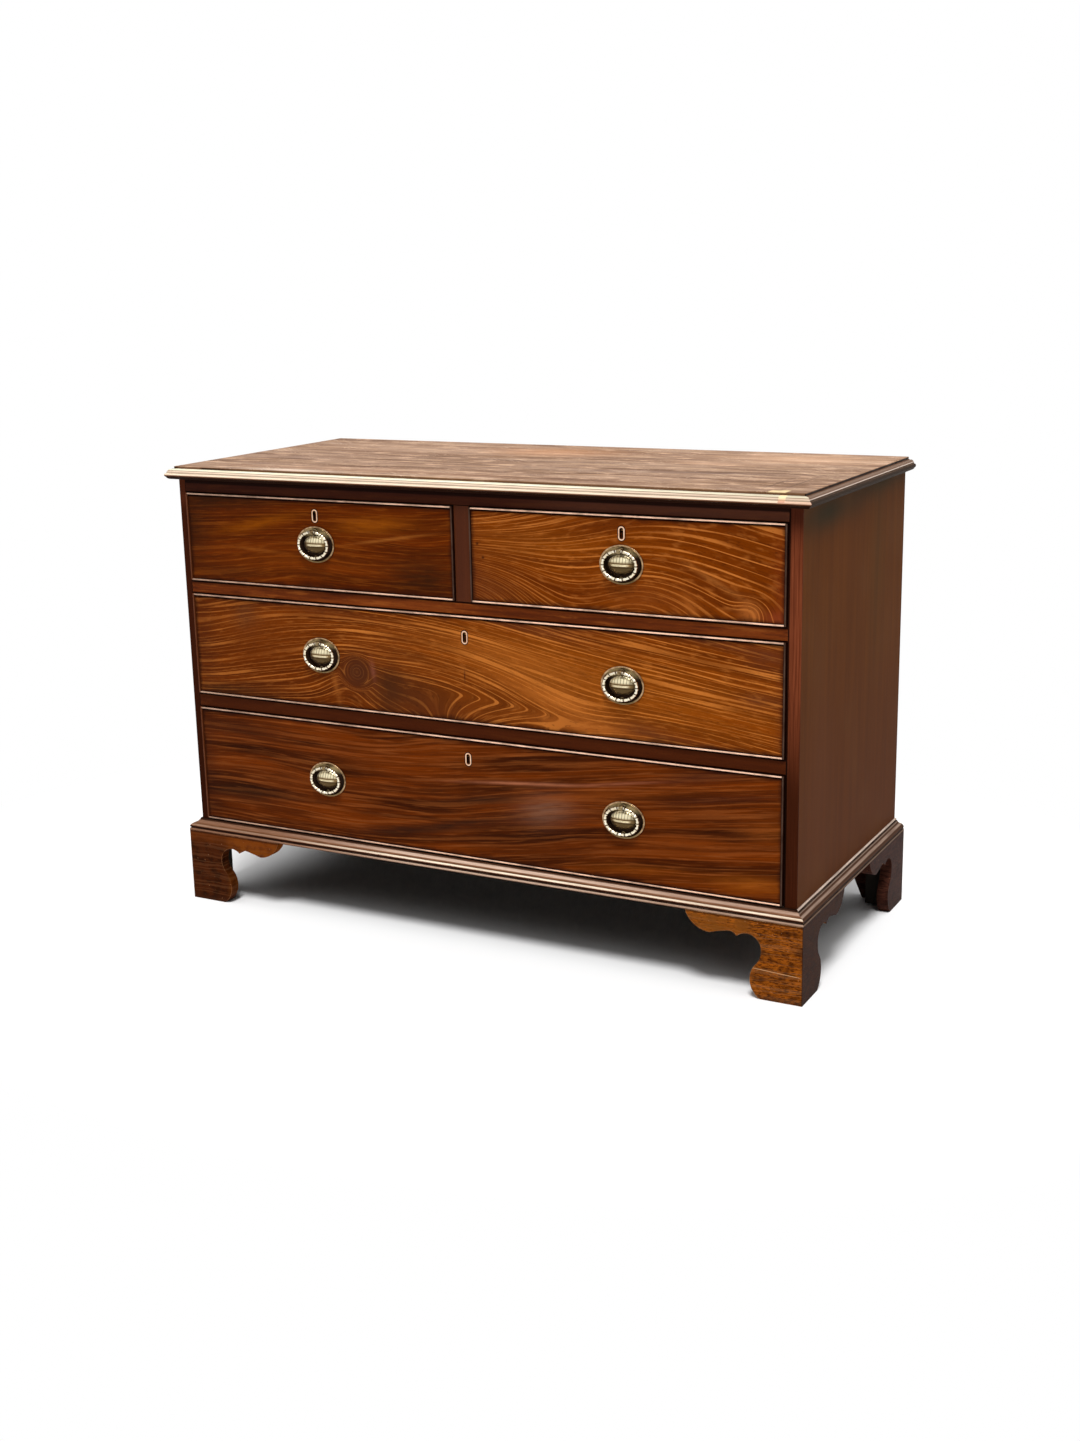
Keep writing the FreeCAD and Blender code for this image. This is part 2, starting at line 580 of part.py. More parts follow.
def handle_parts(x, z):
    """Oval back plate with its boss, the post that carries the ring, the button."""
    rim, rim_height = PLATE_RIM
    width, height = PLATE_SIZE
    rim_y = FACE - rim_height
    disc = oval_prism(x, z, width, height, rim_y, FACE)
    rounded = [e for e in disc.Edges if all(abs(v.Y - rim_y) < 1e-6 for v in e.Vertexes)]
    disc = disc.makeChamfer(rim_height / 3, rounded)
    field = oval_prism(x, z, width - 2 * rim, height - 2 * rim, rim_y, FACE - PLATE_FIELD)
    stretch = Matrix()
    stretch.scale(BOSS_SIZE[0] / 2, BOSS_HEIGHT, BOSS_SIZE[1] / 2)
    dome = Part.makeSphere(1, Vector(0, 0, 0), Vector(0, 1, 0)).transformGeometry(stretch)
    dome.translate(Vector(x, FACE - PLATE_FIELD, z))
    dome = dome.common(oval_prism(x, z, *PLATE_SIZE, FACE - 2 * BOSS_HEIGHT, FACE - PLATE_FIELD))

    ring_y = FACE - RING_STANDOFF
    rise = RING_SIZE[1] / 2 - RING_RADIUS
    bore = RING_RADIUS + KNUCKLE_CLEARANCE
    knuckle_start = Vector(x - KNUCKLE_WIDTH / 2, ring_y, z + rise)
    knuckle = Part.makeCylinder(bore + KNUCKLE_WALL, KNUCKLE_WIDTH, knuckle_start, Vector(1, 0, 0))
    hole = Part.makeCylinder(bore, KNUCKLE_WIDTH, knuckle_start, Vector(1, 0, 0))
    shank_back = LOCK_FACE + NUT_THICKNESS + SHANK_END
    top_shank = pin_along_y(x, z + rise, SHANK_RADIUS, ring_y, shank_back)
    post = join(knuckle, top_shank).cut(hole)
    button = pin_along_y(x, z - rise, SHANK_RADIUS, ring_y + RING_RADIUS + BUTTON_GAP, shank_back)
    nuts = [pin_along_y(x, z + way * rise, NUT_RADIUS, LOCK_FACE, LOCK_FACE + NUT_THICKNESS)
            for way in (1, -1)]
    holes = [pin_along_y(x, z + way * rise, SHANK_RADIUS + SHANK_CLEARANCE, FACE, LOCK_FACE)
             for way in (1, -1)]
    plate = join(disc.cut(field), dome).cut([post, button])
    nuts = [nut.cut([post, button]) for nut in nuts]
    return {"fixed": [plate, post, button] + nuts, "holes": holes}


def ring(x, z):
    """The oval ring, hung by its top in the knuckle."""
    ring_y = FACE - RING_STANDOFF
    path = Part.Ellipse(Vector(x, ring_y, z), RING_SIZE[0] / 2 - RING_RADIUS,
                        RING_SIZE[1] / 2 - RING_RADIUS)
    path.Axis = Vector(0, 1, 0)
    path.XAxis = Vector(1, 0, 0)
    start = Vector(x + RING_SIZE[0] / 2 - RING_RADIUS, ring_y, z)
    section = Part.Wire(Part.makeCircle(RING_RADIUS, start, Vector(0, 0, 1)))
    return Part.Wire(path.toShape()).makePipeShell([section], True, True)


def make_drawer(name, x0, x1, run_z, height, key_drop, handle_xs, muntin):
    """One drawer with its lock and handles; returns the mortise for its bolt."""
    z0 = run_z + DRAWER_GAP
    z1 = z0 + height
    side_z0 = run_z + RUN_CLEARANCE
    side_z1 = z1 - SIDE_DROP
    panel_z0 = side_z0 + PANEL_LIFT
    panel_z1 = panel_z0 + PANEL_THICKNESS
    back_z1 = z1 - BACK_DROP
    back_y0 = DRAWER_BACK - BOX_THICKNESS
    x_mid = (x0 + x1) / 2
    z_mid = (z0 + z1) / 2
    key_z = z1 - key_drop
    tail_tip = FACE + BEAD_DEPTH

    lock = lock_parts(x_mid, z1, key_drop)
    hole = keyhole(x_mid, key_z, FACE - ESCUTCHEON_PROUD, LOCK_FACE - LOCK_CASE[1])
    blank = escutcheon_blank(x_mid, key_z, FACE - ESCUTCHEON_PROUD, FACE + ESCUTCHEON_DEPTH)
    beads = bead_strips(x0, x1, z0, z1)
    beads = [bead.cut(lock["recess"]) for bead in beads]

    panels = [box(x0 + PANEL_TONGUE, x1 - PANEL_TONGUE, LOCK_FACE - PANEL_TONGUE, DRAWER_BACK,
                  panel_z0, panel_z1)]
    bars = []
    if muntin:
        half = MUNTIN_WIDTH / 2
        inner = half - PANEL_TONGUE
        left = box(x0 + PANEL_TONGUE, x_mid - inner, LOCK_FACE - PANEL_TONGUE, DRAWER_BACK,
                   panel_z0, panel_z1)
        right = box(x_mid + inner, x1 - PANEL_TONGUE, LOCK_FACE - PANEL_TONGUE, DRAWER_BACK,
                    panel_z0, panel_z1)
        panels = [left, right]
        bar = box(x_mid - half, x_mid + half, LOCK_FACE, back_y0, panel_z0 - MUNTIN_DROP,
                  panel_z1 + MUNTIN_RISE)
        bars = [bar.cut(panels)]

    sides = []
    sockets = []
    pins = []
    for inner_x, outer_x in ((x0 + BOX_THICKNESS, x0), (x1 - BOX_THICKNESS, x1)):
        left, right = sorted((inner_x, outer_x))
        front_tails = drawer_tails(left, right, LOCK_FACE, tail_tip, side_z0, side_z1)
        back_tails = drawer_tails(left, right, back_y0, DRAWER_BACK, panel_z1, back_z1)
        board = box(left, right, LOCK_FACE, back_y0, side_z0, side_z1)
        heel = box(left, right, back_y0, DRAWER_BACK, side_z0, panel_z1)
        sides.append(join(board, heel, *front_tails, *back_tails).cut(panels))
        sockets += front_tails
        pins += back_tails

    handles = [handle_parts(x, z_mid) for x in handle_xs]
    holes = [one for handle in handles for one in handle["holes"]]
    front = box(x0, x1, FACE, LOCK_FACE, z0, z1)
    front = front.cut(beads + sockets + panels + holes + [lock["recess"], hole, blank])
    back = box(x0, x1, back_y0, DRAWER_BACK, panel_z1, back_z1).cut(pins)

    save_inner(name + "_drawer_front", front)
    save_inner(name + "_drawer_sides", *sides)
    save_inner(name + "_drawer_back", back)
    save_inner(name + "_drawer_bottom", *panels, *bars)
    save_inner(name + "_drawer_cockbead", *beads)
    save_inner(name + "_lock_case", lock["case"])
    save_inner(name + "_lock_bolt", lock["bolt"])
    save_inner(name + "_escutcheon", blank.cut(hole))
    save_inner(name + "_handle_plates", *[one for handle in handles for one in handle["fixed"]])
    ends = [""] if len(handle_xs) == 1 else ["_left", "_right"]
    for end, x in zip(ends, handle_xs):
        save_inner(name + "_ring" + end, ring(x, z_mid))
    return lock["mortise"]


def make_drawers():
    outer = INNER_X - SIDE_GAP
    inner = DIVIDER_WIDTH / 2 + SIDE_GAP
    middle = (outer + inner) / 2
    pulls = [-middle, middle]
    short = (UPPER_RUN_Z, SHORT_DRAWER_HEIGHT, SHORT_KEY_DROP)
    top = [make_drawer("upper_left", -outer, -inner, *short, [-middle], False),
           make_drawer("upper_right", inner, outer, *short, [middle], False)]
    upper = [make_drawer("middle", -outer, outer, LOWER_RUN_Z, MIDDLE_DRAWER_HEIGHT,
                         LONG_KEY_DROP, pulls, True)]
    lower = [make_drawer("bottom", -outer, outer, FLOOR_Z, BOTTOM_DRAWER_HEIGHT,
                         LONG_KEY_DROP, pulls, True)]
    return top, upper, lower


top_mortises, upper_rail_mortises, lower_rail_mortises = make_drawers()
make_sides()
make_bottom()
make_top_rails(top_mortises)
make_levels(upper_rail_mortises, lower_rail_mortises)
make_divider()
make_back_boards()
make_drawer_stops()
make_top()
make_mouldings()
make_feet()
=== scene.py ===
# %% [markdown]
# # A bachelors chest in mahogany
# The joinery is already cut: every board, rail, foot, lock and bolt comes in from the packed
# model, in metres, in its own place. This lesson gives it its finish: figured mahogany, a faded
# top, bleached mouldings and brass handles. A finish could be painted by hand on an unwrapped
# mesh. Here each one is built from shader nodes instead, because nodes follow the real size of
# the boards and stay sharp from any distance.

# %% Bring in the joinery
import math

import bpy
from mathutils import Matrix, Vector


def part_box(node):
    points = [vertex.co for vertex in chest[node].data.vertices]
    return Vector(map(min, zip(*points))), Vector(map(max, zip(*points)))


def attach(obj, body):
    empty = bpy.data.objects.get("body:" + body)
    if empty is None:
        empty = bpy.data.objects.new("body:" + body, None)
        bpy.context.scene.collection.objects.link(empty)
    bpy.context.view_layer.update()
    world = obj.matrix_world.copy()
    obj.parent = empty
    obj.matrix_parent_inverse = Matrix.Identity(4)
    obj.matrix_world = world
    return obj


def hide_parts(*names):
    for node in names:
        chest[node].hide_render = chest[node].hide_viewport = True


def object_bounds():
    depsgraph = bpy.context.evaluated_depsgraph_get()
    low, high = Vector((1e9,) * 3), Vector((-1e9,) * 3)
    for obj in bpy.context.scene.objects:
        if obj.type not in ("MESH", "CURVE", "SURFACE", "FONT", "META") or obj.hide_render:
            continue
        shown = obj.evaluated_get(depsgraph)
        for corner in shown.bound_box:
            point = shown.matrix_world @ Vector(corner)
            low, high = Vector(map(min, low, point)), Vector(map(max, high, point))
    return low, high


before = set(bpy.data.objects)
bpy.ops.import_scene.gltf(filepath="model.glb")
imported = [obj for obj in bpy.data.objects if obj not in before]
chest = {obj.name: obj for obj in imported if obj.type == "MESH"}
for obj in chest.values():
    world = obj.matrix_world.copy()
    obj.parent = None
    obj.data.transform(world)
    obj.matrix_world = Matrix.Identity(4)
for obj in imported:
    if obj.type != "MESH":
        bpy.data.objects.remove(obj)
cad_low, cad_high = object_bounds()
print("boards and fittings:", len(chest))
print("chest size:", [round(high - low, 3) for low, high in zip(cad_low, cad_high)])

# %% [markdown]
# ## Where the eye stands
# A chest is usually shown from a little above and from one front corner, so that the top, the
# front and one side all show. The camera could be aimed with a Track To constraint. Its place
# and its three turns are written down here, because then the verticals lean by exactly the
# right amount.

# %% Set the camera
camera_data = bpy.data.cameras.new("front_corner_camera")
camera_data.sensor_width = 36
camera_data.sensor_fit = "AUTO"
camera_data.lens = 44.39
camera_data.clip_end = 60
camera = bpy.data.objects.new("front_corner_camera", camera_data)
bpy.context.scene.collection.objects.link(camera)
camera.location = (1.4463, -2.7107, 1.1298)
camera.rotation_euler = [math.radians(turn) for turn in (75.511, 1.146, 27.779)]
bpy.context.scene.camera = camera
print("lens:", camera_data.lens, "mm")

# %% [markdown]
# ## Readings
# A shader is a chain of small steps: measure where a point is, make a mask from it, stain the
# ground colour by that mask. Wiring each node by hand takes five lines. Here whatever a node
# puts out is called a reading, and readings can be added, multiplied and divided like plain
# numbers. Each such step puts a node into the tree that the reading belongs to.

# %% Readings
class Reading:
    """What a node puts out. Arithmetic with it adds Math nodes to its tree."""

    def __init__(self, socket):
        self.socket = socket
        self.tree = socket.id_data

    def __add__(self, other):
        return reckon("ADD", self, other)

    def __sub__(self, other):
        return reckon("SUBTRACT", self, other)

    def __rsub__(self, other):
        return reckon("SUBTRACT", other, self)

    def __mul__(self, other):
        return reckon("MULTIPLY", self, other)

    def __truediv__(self, other):
        return reckon("DIVIDE", self, other)

    def __abs__(self):
        return reckon("ABSOLUTE", self)


def paint(red, green, blue):
    """A paint chart colour, 0 to 255, as the linear colour a shader works in."""
    linear = []
    for value in (red, green, blue):
        part = value / 255
        linear.append(part / 12.92 if part <= 0.04045 else ((part + 0.055) / 1.055) ** 2.4)
    return (*linear, 1)


def connect(value, socket):
    """Plug a reading into a socket, or set the socket's number or paint chart colour."""
    if isinstance(value, Reading):
        value.tree.links.new(value.socket, socket)
    elif isinstance(value, tuple) and len(value) == 3:
        socket.default_value = paint(*value)
    else:
        socket.default_value = value


def tree_of(values):
    """The node tree of the first reading among some values."""
    return next(value.tree for value in values if isinstance(value, Reading))


def place_node(tree, kind, inputs, output=0, **settings):
    """Add a node, make its settings, fill its inputs and read one of its outputs."""
    node = tree.nodes.new("ShaderNode" + kind)
    for label, value in settings.items():
        setattr(node, label, value)
    for label, value in inputs.items():
        connect(value, node.inputs[label])
    return Reading(node.outputs[output])


def reckon(operation, *values):
    """One step of arithmetic."""
    return place_node(tree_of(values), "Math", dict(enumerate(values)), operation=operation)


print("a step of arithmetic is one node")

# %% [markdown]
# ## Masks, stains and clouds
# Nearly every mark on old furniture is one of three things: a soft step from one place to
# another, a colour laid over a colour, or a soft random cloud. What several finishes share is
# put in a node group, which is built once and then placed wherever it is wanted.

# %% Masks, stains and clouds
def between(value, low, high, low_result=0, high_result=1):
    """A soft step: low_result up to low, high_result from high on."""
    inputs = {"Value": value, "From Min": low, "From Max": high,
              "To Min": low_result, "To Max": high_result}
    return place_node(value.tree, "MapRange", inputs, "Result", interpolation_type="SMOOTHSTEP")


def band(value, low, high, soft):
    """1 between low and high, 0 outside, with soft ends."""
    rise = between(value, low - soft, low + soft)
    return rise * between(value, high - soft, high + soft, 1, 0)


def stain(amount, ground, colour):
    """Lay a colour over the ground colour by an amount."""
    return place_node(amount.tree, "Mix", {0: amount, 6: ground, 7: colour}, 2, data_type="RGBA")


def cloud(along, across, deep=0, detail=2, roughness=0.5):
    """Soft random tone. Each coordinate is already divided by the size of a patch."""
    place = place_node(along.tree, "CombineXYZ", {0: along, 1: across, 2: deep})
    inputs = {"Vector": place, "Scale": 1, "Detail": detail, "Roughness": roughness}
    return place_node(along.tree, "TexNoise", inputs, "Fac")


def start_group(name, inputs, outputs):
    """An empty node group. Its inputs are numbers, each with the value it starts from."""
    group = bpy.data.node_groups.new(name, "ShaderNodeTree")
    for label, value in inputs.items():
        socket = group.interface.new_socket(
            name=label, in_out="INPUT", socket_type="NodeSocketFloat"
        )
        socket.default_value = value
    for label in outputs:
        kind = "NodeSocketVector" if label == "Normal" else "NodeSocketFloat"
        group.interface.new_socket(name=label, in_out="OUTPUT", socket_type=kind)
    entries = group.nodes.new("NodeGroupInput").outputs
    result = group.nodes.new("NodeGroupOutput").inputs
    return group, {label: Reading(entries[label]) for label in inputs}, result


def use(group, tree=None, **settings):
    """Place a group in a recipe. A setting's name is the input's name with _ for spaces."""
    node = (tree or tree_of(settings.values())).nodes.new("ShaderNodeGroup")
    node.node_tree = group
    for label, value in settings.items():
        connect(value, node.inputs[label.replace("_", " ")])
    return {socket.name: Reading(socket) for socket in node.outputs}


print("masks, stains and clouds are ready")

# %% [markdown]
# ## A ruler in millimetres
# Furniture is measured in millimetres from the floor and from the middle of the front. Object
# coordinates give the same in metres, because every piece's origin is the chest's own origin.
# The ruler group turns them into millimetres once, and every finish starts from it.

# %% Ruler group
ruler, entry, result = start_group("ruler in millimetres", {}, ["Across", "Depth", "Height"])
place = place_node(ruler, "TexCoord", {}, "Object")
for number, label in enumerate(("Across", "Depth", "Height")):
    connect(place_node(ruler, "SeparateXYZ", {0: place}, number) * 1000, result[label])
print("ruler reads", len(result) - 1, "directions")

# %% [markdown]
# ## A soft patch
# Old polish is never even: there are darker clouds, a paler worn place, a knot. Each one is an
# oval smudge with a centre, two half sizes and a turn. A brush could paint it. A bell curve of
# the distance from the centre gives the same smudge, with no edge where it stops.

# %% Soft patch group
def turned(across, up, turn):
    """The same place on axes that are turned."""
    cosine = reckon("COSINE", turn)
    sine = reckon("SINE", turn)
    return across * cosine + up * sine, up * cosine - across * sine


soft_patch, entry, result = start_group(
    "soft patch",
    {"Across": 0, "Height": 0, "Centre Across": 0, "Centre Height": 0,
     "Half Width": 50, "Half Height": 50, "Turn": 0},
    ["Mask"],
)
along, away = turned(
    entry["Across"] - entry["Centre Across"], entry["Height"] - entry["Centre Height"],
    entry["Turn"],
)
along = along / entry["Half Width"]
away = away / entry["Half Height"]
connect(reckon("EXPONENT", (along * along + away * away) * -1), result["Mask"])


def patch(across, height, spot):
    """One smudge. spot is (centre across, centre height, half width, half height, degrees)."""
    middle_x, middle_z, half_width, half_height, degrees = spot
    return use(
        soft_patch, Across=across, Height=height, Centre_Across=middle_x, Centre_Height=middle_z,
        Half_Width=half_width, Half_Height=half_height, Turn=math.radians(degrees),
    )["Mask"]


print("patch at its centre is 1, one half size away it is", round(math.exp(-1), 2))

# %% [markdown]
# ## Growth lines
# A tree lays down one ring a year, and on a board the rings show as lines that run together,
# swing round knots and spread out again. If one number says how deep in the tree each point
# lies, the rings are the places where it passes a round value. The wave texture could draw
# straight rings. This group draws them from any number, so they can follow a real figure.

# %% Growth lines group
growth_lines, entry, result = start_group(
    "growth lines",
    {"Figure": 0, "Along": 0, "Spacing": 9, "Share": 0.35, "Wander": 1.5},
    ["Lines", "Bands"],
)
along = entry["Along"]
ring = entry["Figure"] / entry["Spacing"]
ring = ring + cloud(along * 0.004, ring * 0.35, 3, 1) * entry["Wander"]
ring = cloud(along * 0.0015, ring * 0.8, 5, 2) * 2.6 + ring
ridge = reckon("PINGPONG", reckon("FRACT", ring), 0.5) * 2
edge = 1 - entry["Share"]
crest = between(ridge, edge, edge * 0.45 + 0.55)
strength = cloud(along * 0.006, reckon("FLOOR", ring) * 1.73, 7, 1)
connect(crest * between(strength, 0.3, 0.62, 0.2, 1), result["Lines"])
bands = cloud(along * 0.0025, ring * 0.45, 11, 3, 0.6)
connect(between(bands, 0.3, 0.7), result["Bands"])
print("growth lines group has", len(growth_lines.nodes), "nodes")

# %% [markdown]
# ## Fibres and pores
# Between the rings mahogany is full of fine fibres and of open pores, short dark dashes along
# the grain. The group takes two numbers: how far along the grain a point is, and which layer of
# the tree it is in. Noise read in those two is stretched by itself, and bends with the figure.

# %% Wood fibre group
PORES_PER_MM = 0.11
wood_fibre, entry, result = start_group(
    "wood fibre",
    {"Figure": 0, "Along": 0, "Depth": 0, "Length": 60, "Fineness": 1.4},
    ["Fibres", "Pores", "Surface"],
)
deep = entry["Depth"] * 0.3
fibres = cloud(entry["Along"] / entry["Length"], entry["Figure"] / entry["Fineness"],
               deep, 3, 0.62)
pores = cloud(entry["Along"] * PORES_PER_MM, entry["Figure"] * 1.9, deep, 1, 0.5)
pores = between(pores, 0.6, 0.72)
connect(between(fibres, 0.28, 0.72), result["Fibres"])
connect(pores, result["Pores"])
connect(fibres - pores * 0.8, result["Surface"])
print("a pore is about", round(1 / PORES_PER_MM), "mm long")

# %% [markdown]
# ## Rubbed edges
# Hands, dusters and house moves rub the polish off the sharp edges first. The Bevel node gives
# the direction a surface would have if its edges were rounded. Where that differs from the true
# direction, there is an edge. Pointiness could find edges too, but it needs a dense mesh. The
# rounded direction is also handed on, because a real arris is never quite sharp.

# %% Rubbed edge group
EDGE_WIDTH = 0.0015
rubbed_edge, entry, result = start_group(
    "rubbed edge", {"Width": EDGE_WIDTH, "Across": 0, "Depth": 0, "Height": 0},
    ["Wear", "Normal"],
)
rounded = place_node(rubbed_edge, "Bevel", {"Radius": entry["Width"]}, samples=6)
straight = place_node(rubbed_edge, "NewGeometry", {}, "Normal")
agree = place_node(rubbed_edge, "VectorMath", {0: rounded, 1: straight}, "Value",
                   operation="DOT_PRODUCT")
patchy = cloud(entry["Across"] * 0.03, entry["Depth"] * 0.03, entry["Height"] * 0.03, 3, 0.65)
wear = between(agree, 0.99, 0.86) * between(patchy, 0.38, 0.6, 0.12, 1)
connect(wear, result["Wear"])
connect(rounded, result["Normal"])
print("edges are looked for within", EDGE_WIDTH * 1000, "mm")

# %% [markdown]
# ## Starting and ending a finish
# Every finish starts with the ruler and ends in one Principled shader. Shellac on mahogany is a
# thin, soft film, so its shine is low: a strong one would lay a grey veil of the pale room over
# the dark wood. It is set on the shader's own socket, because it is the same all over.

# %% Begin and end a finish
class Finish:
    """A material in the making: where a point is, its shader and the colour so far."""

    def __init__(self, name, ground, shine=0.02):
        self.material = bpy.data.materials.new(name)
        self.material.use_nodes = True
        self.tree = self.material.node_tree
        self.shader = self.tree.nodes["Principled BSDF"]
        self.shader.inputs["Specular IOR Level"].default_value = shine
        marks = use(ruler, self.tree)
        self.place = marks["Across"], marks["Depth"], marks["Height"]
        self.colour = ground
        self.rounded = None

    def fibres(self, **settings):
        """Place the fibre group. Its surface becomes the relief of the finish."""
        self.fibre = use(wood_fibre, **settings)
        return self.fibre

    def stain(self, amount, colour):
        """Lay one more colour over the colour so far."""
        self.colour = stain(amount, self.colour, colour)

    def fade(self, value, low, high, strength, *tone):
        """A colour that comes in softly between low and high."""
        self.stain(between(value, low, high, 0, strength), tone)

    def smudge(self, across, height, row, ragged=None):
        """One cloud. row is a spot of five numbers, a strength and a colour."""
        mask = patch(across, height, row[:5])
        if ragged:
            mask = mask * ragged
        self.stain(mask * row[5], row[6:])

    def rub_edges(self, width, strength, worn):
        """Wear on the edges, which are rounded too."""
        across, depth, height = self.place
        edge = use(rubbed_edge, Width=width, Across=across, Depth=depth, Height=height)
        self.stain(edge["Wear"] * strength, worn)
        self.rounded = edge["Normal"]

    def end(self, roughness, relief_mm, relief=None):
        """Colour, roughness and fine relief go into the shader."""
        connect(self.colour, self.shader.inputs["Base Color"])
        connect(roughness, self.shader.inputs["Roughness"])
        inputs = {"Distance": relief_mm / 1000, "Strength": 0.6,
                  "Height": relief or self.fibre["Surface"]}
        if self.rounded:
            inputs["Normal"] = self.rounded
        connect(place_node(self.tree, "Bump", inputs), self.shader.inputs["Normal"])


def dress(finish, *names):
    """Give a finish to boards from the joinery."""
    for name in names:
        board = chest[name]
        board.data.materials.clear()
        board.data.materials.append(finish.material)


print("finishes start with", len(bpy.data.materials), "materials in the file")

# %% [markdown]
# ## Polished drawer fronts
# The four fronts were cut from boards with strong figure, and each is different. What they
# share is the polish: a ground colour, darker and lighter bands that follow the figure, pale
# growth lines, fibres, pores, cloudy places, a dark rim along the cockbead that is partly old
# wax and dirt and partly painted shade, and a painted shadow line at the root of the bead.
# This function does the shared part. The figure, as a number in millimetres, comes from the
# board itself.

# %% Polish for a drawer front
def most(first, second):
    return reckon("MAXIMUM", first, second)


def least(first, second):
    return reckon("MINIMUM", first, second)


def polish_front(drawer, figure_of, wood, lines, clouds, run=1):
    """wood: ground, band, pale and dark colours. clouds: rows for smudge."""
    board = drawer + "_drawer_front"
    ground, band_colour, pale, dark = wood
    finish = Finish("polish_" + drawer, ground)
    across, depth, height = finish.place
    figure = figure_of(across, height)
    spacing, share, line_strength, band_strength = lines
    rings = use(growth_lines, Figure=figure, Along=across, Spacing=spacing, Share=share)
    fibre = finish.fibres(
        Figure=figure, Along=across / run, Depth=depth, Fineness=1.2 + 0.2 * run
    )
    finish.stain(rings["Bands"] * band_strength, band_colour)
    finish.stain(fibre["Fibres"] * 0.42, dark)
    sheen = cloud(across / (26 * run), figure / 3.4, 9)
    finish.fade(sheen, 0.5, 0.75, 0.35, *pale)
    finish.stain(rings["Lines"] * line_strength, pale)
    for row in clouds:
        ragged = cloud(across / 38, figure / 7, row[0])
        finish.smudge(across, height, row, between(ragged, 0.25, 0.6, 0.6, 1))
    finish.stain(fibre["Pores"] * 0.4, dark)
    low, high = (corner * 1000 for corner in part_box(board))
    inset_x = least(across - low.x, high.x - across)
    inset = least(inset_x, least(height - low.z, high.z - height))
    # A dark rim round the front, partly old wax and dirt and partly painted shade where the bead
    # meets the front.
    rim_width_cloud = cloud(across / 30, height / 30)
    finish.stain(between(inset, 2, rim_width_cloud * 22, 0.75, 0), (34, 13, 8))
    # A painted shadow line at the root of the bead along the right, top and lower edges,
    # strongest under the top bead.
    bead_root_shadow = between(inset_x, 3.6, 5.2, 0.9, 0) * between(across, low.x + 5, low.x + 7)
    bead_root_shadow = most(bead_root_shadow, between(height, high.z - 7.4, high.z - 5, 0, 0.96))
    bead_root_shadow = most(bead_root_shadow, between(height, low.z + 5, low.z + 3, 0, 0.45))
    finish.stain(bead_root_shadow, (18, 3, 0))
    finish.end(between(rings["Bands"], 0, 1, 0.42, 0.5), 0.12)
    dress(finish, board)
    print(board, "has", len(clouds), "clouds")


def squashed_distance(side, up, half_width, half_height):
    """1 on an oval of these half sizes, less inside it."""
    wide = side / half_width
    tall = up / half_height
    return reckon("SQRT", wide * wide + tall * tall)


def swell(figure, across, height, rows):
    """Lift the figure's lines over some spots, as over a branch. A row ends in the rise."""
    for *spot, rise in rows:
        figure = figure - patch(across, height, spot) * rise
    return figure


# The dark rim is dirt and painted shade.
print("a front gets ground, bands, lines, fibres, clouds, pores and a rim of dirt and painted shade")

# %% [markdown]
# ## Upper left front
# The quietest board: nearly straight grain, a dark upper left corner, and a few pale lines that
# drift up to the right.

# %% Upper left front
def upper_left_figure(across, height):
    return swell(height - across * 0.04, across, height, (
        (-330, 640, 120, 60, 0, 16),
        (-90, 700, 70, 40, 0, -7),
    ))


upper_left_clouds = [
    (-500, 742, 130, 22, 0, 0.85, 44, 21, 7),
    (-565, 690, 50, 70, 0, 0.8, 42, 20, 8),
    (-410, 703, 78, 9, 12, 0.7, 138, 70, 4),
    (-175, 712, 66, 13, 4, 0.75, 142, 72, 6),
    (-330, 640, 150, 22, 0, 0.45, 124, 56, 6),
    (-80, 628, 70, 32, 0, 0.92, 48, 22, 6),
    (-470, 615, 60, 12, 0, 0.5, 66, 30, 8),
    (-420, 658, 52, 3.2, -3, 0.5, 146, 80, 24),
    (-140, 690, 66, 2.6, 9, 0.7, 158, 92, 34),
]
polish_front(
    "upper_left", upper_left_figure, ((107, 41, 0), (68, 22, 0), (146, 76, 18), (32, 11, 2)),
    (11, 0.3, 0.35, 0.9), upper_left_clouds, 1.8,
)

# %% [markdown]
# ## Upper right front
# The showpiece. The lines fan out from a point near the left edge, sag in the middle and then
# arch over something that lay just below the board, probably the start of a branch. The fan
# is made by stretching the height more and more as the board goes right. The arch is a swell.

# %% Upper right front
def upper_right_figure(across, height):
    opened = reckon("TANH", (across - 100) / 130)
    fan = (height - 704) * (opened * -0.468 + 0.748)
    return swell(fan, across, height, (
        (318, 560, 95, 90, 0, 28),
        (340, 640, 240, 200, 0, 21),
        (560, 560, 70, 60, 0, -10),
        (500, 618, 30, 26, 0, 6),
        (0, 606, 100, 60, 0, 34),
    ))


upper_right_clouds = [
    (40, 620, 60, 34, -20, 0.55, 92, 46, 22),
    (10, 640, 20, 110, 0, 0.5, 84, 34, 12),
    (492, 612, 16, 20, 30, 0.6, 172, 98, 42),
    (398, 612, 9, 24, 24, 0.6, 166, 92, 34),
    (70, 680, 70, 60, 0, 0.4, 104, 48, 8),
    (318, 622, 80, 28, -6, 0.7, 122, 58, 14),
    (440, 655, 60, 5, -28, 0.5, 166, 98, 42),
    (150, 700, 120, 26, 0, 0.28, 150, 82, 20),
    (300, 738, 150, 12, 0, 0.35, 112, 52, 12),
    (545, 650, 16, 110, 0, 0.5, 112, 44, 16),
    (540, 606, 30, 12, 0, 0.4, 150, 66, 40),
    (120, 610, 70, 12, -12, 0.4, 96, 44, 8),
    (25, 692, 2.2, 2.2, 0, 0.9, 36, 14, 6),
    (35, 670, 2.2, 2.2, 0, 0.9, 36, 14, 6),
]
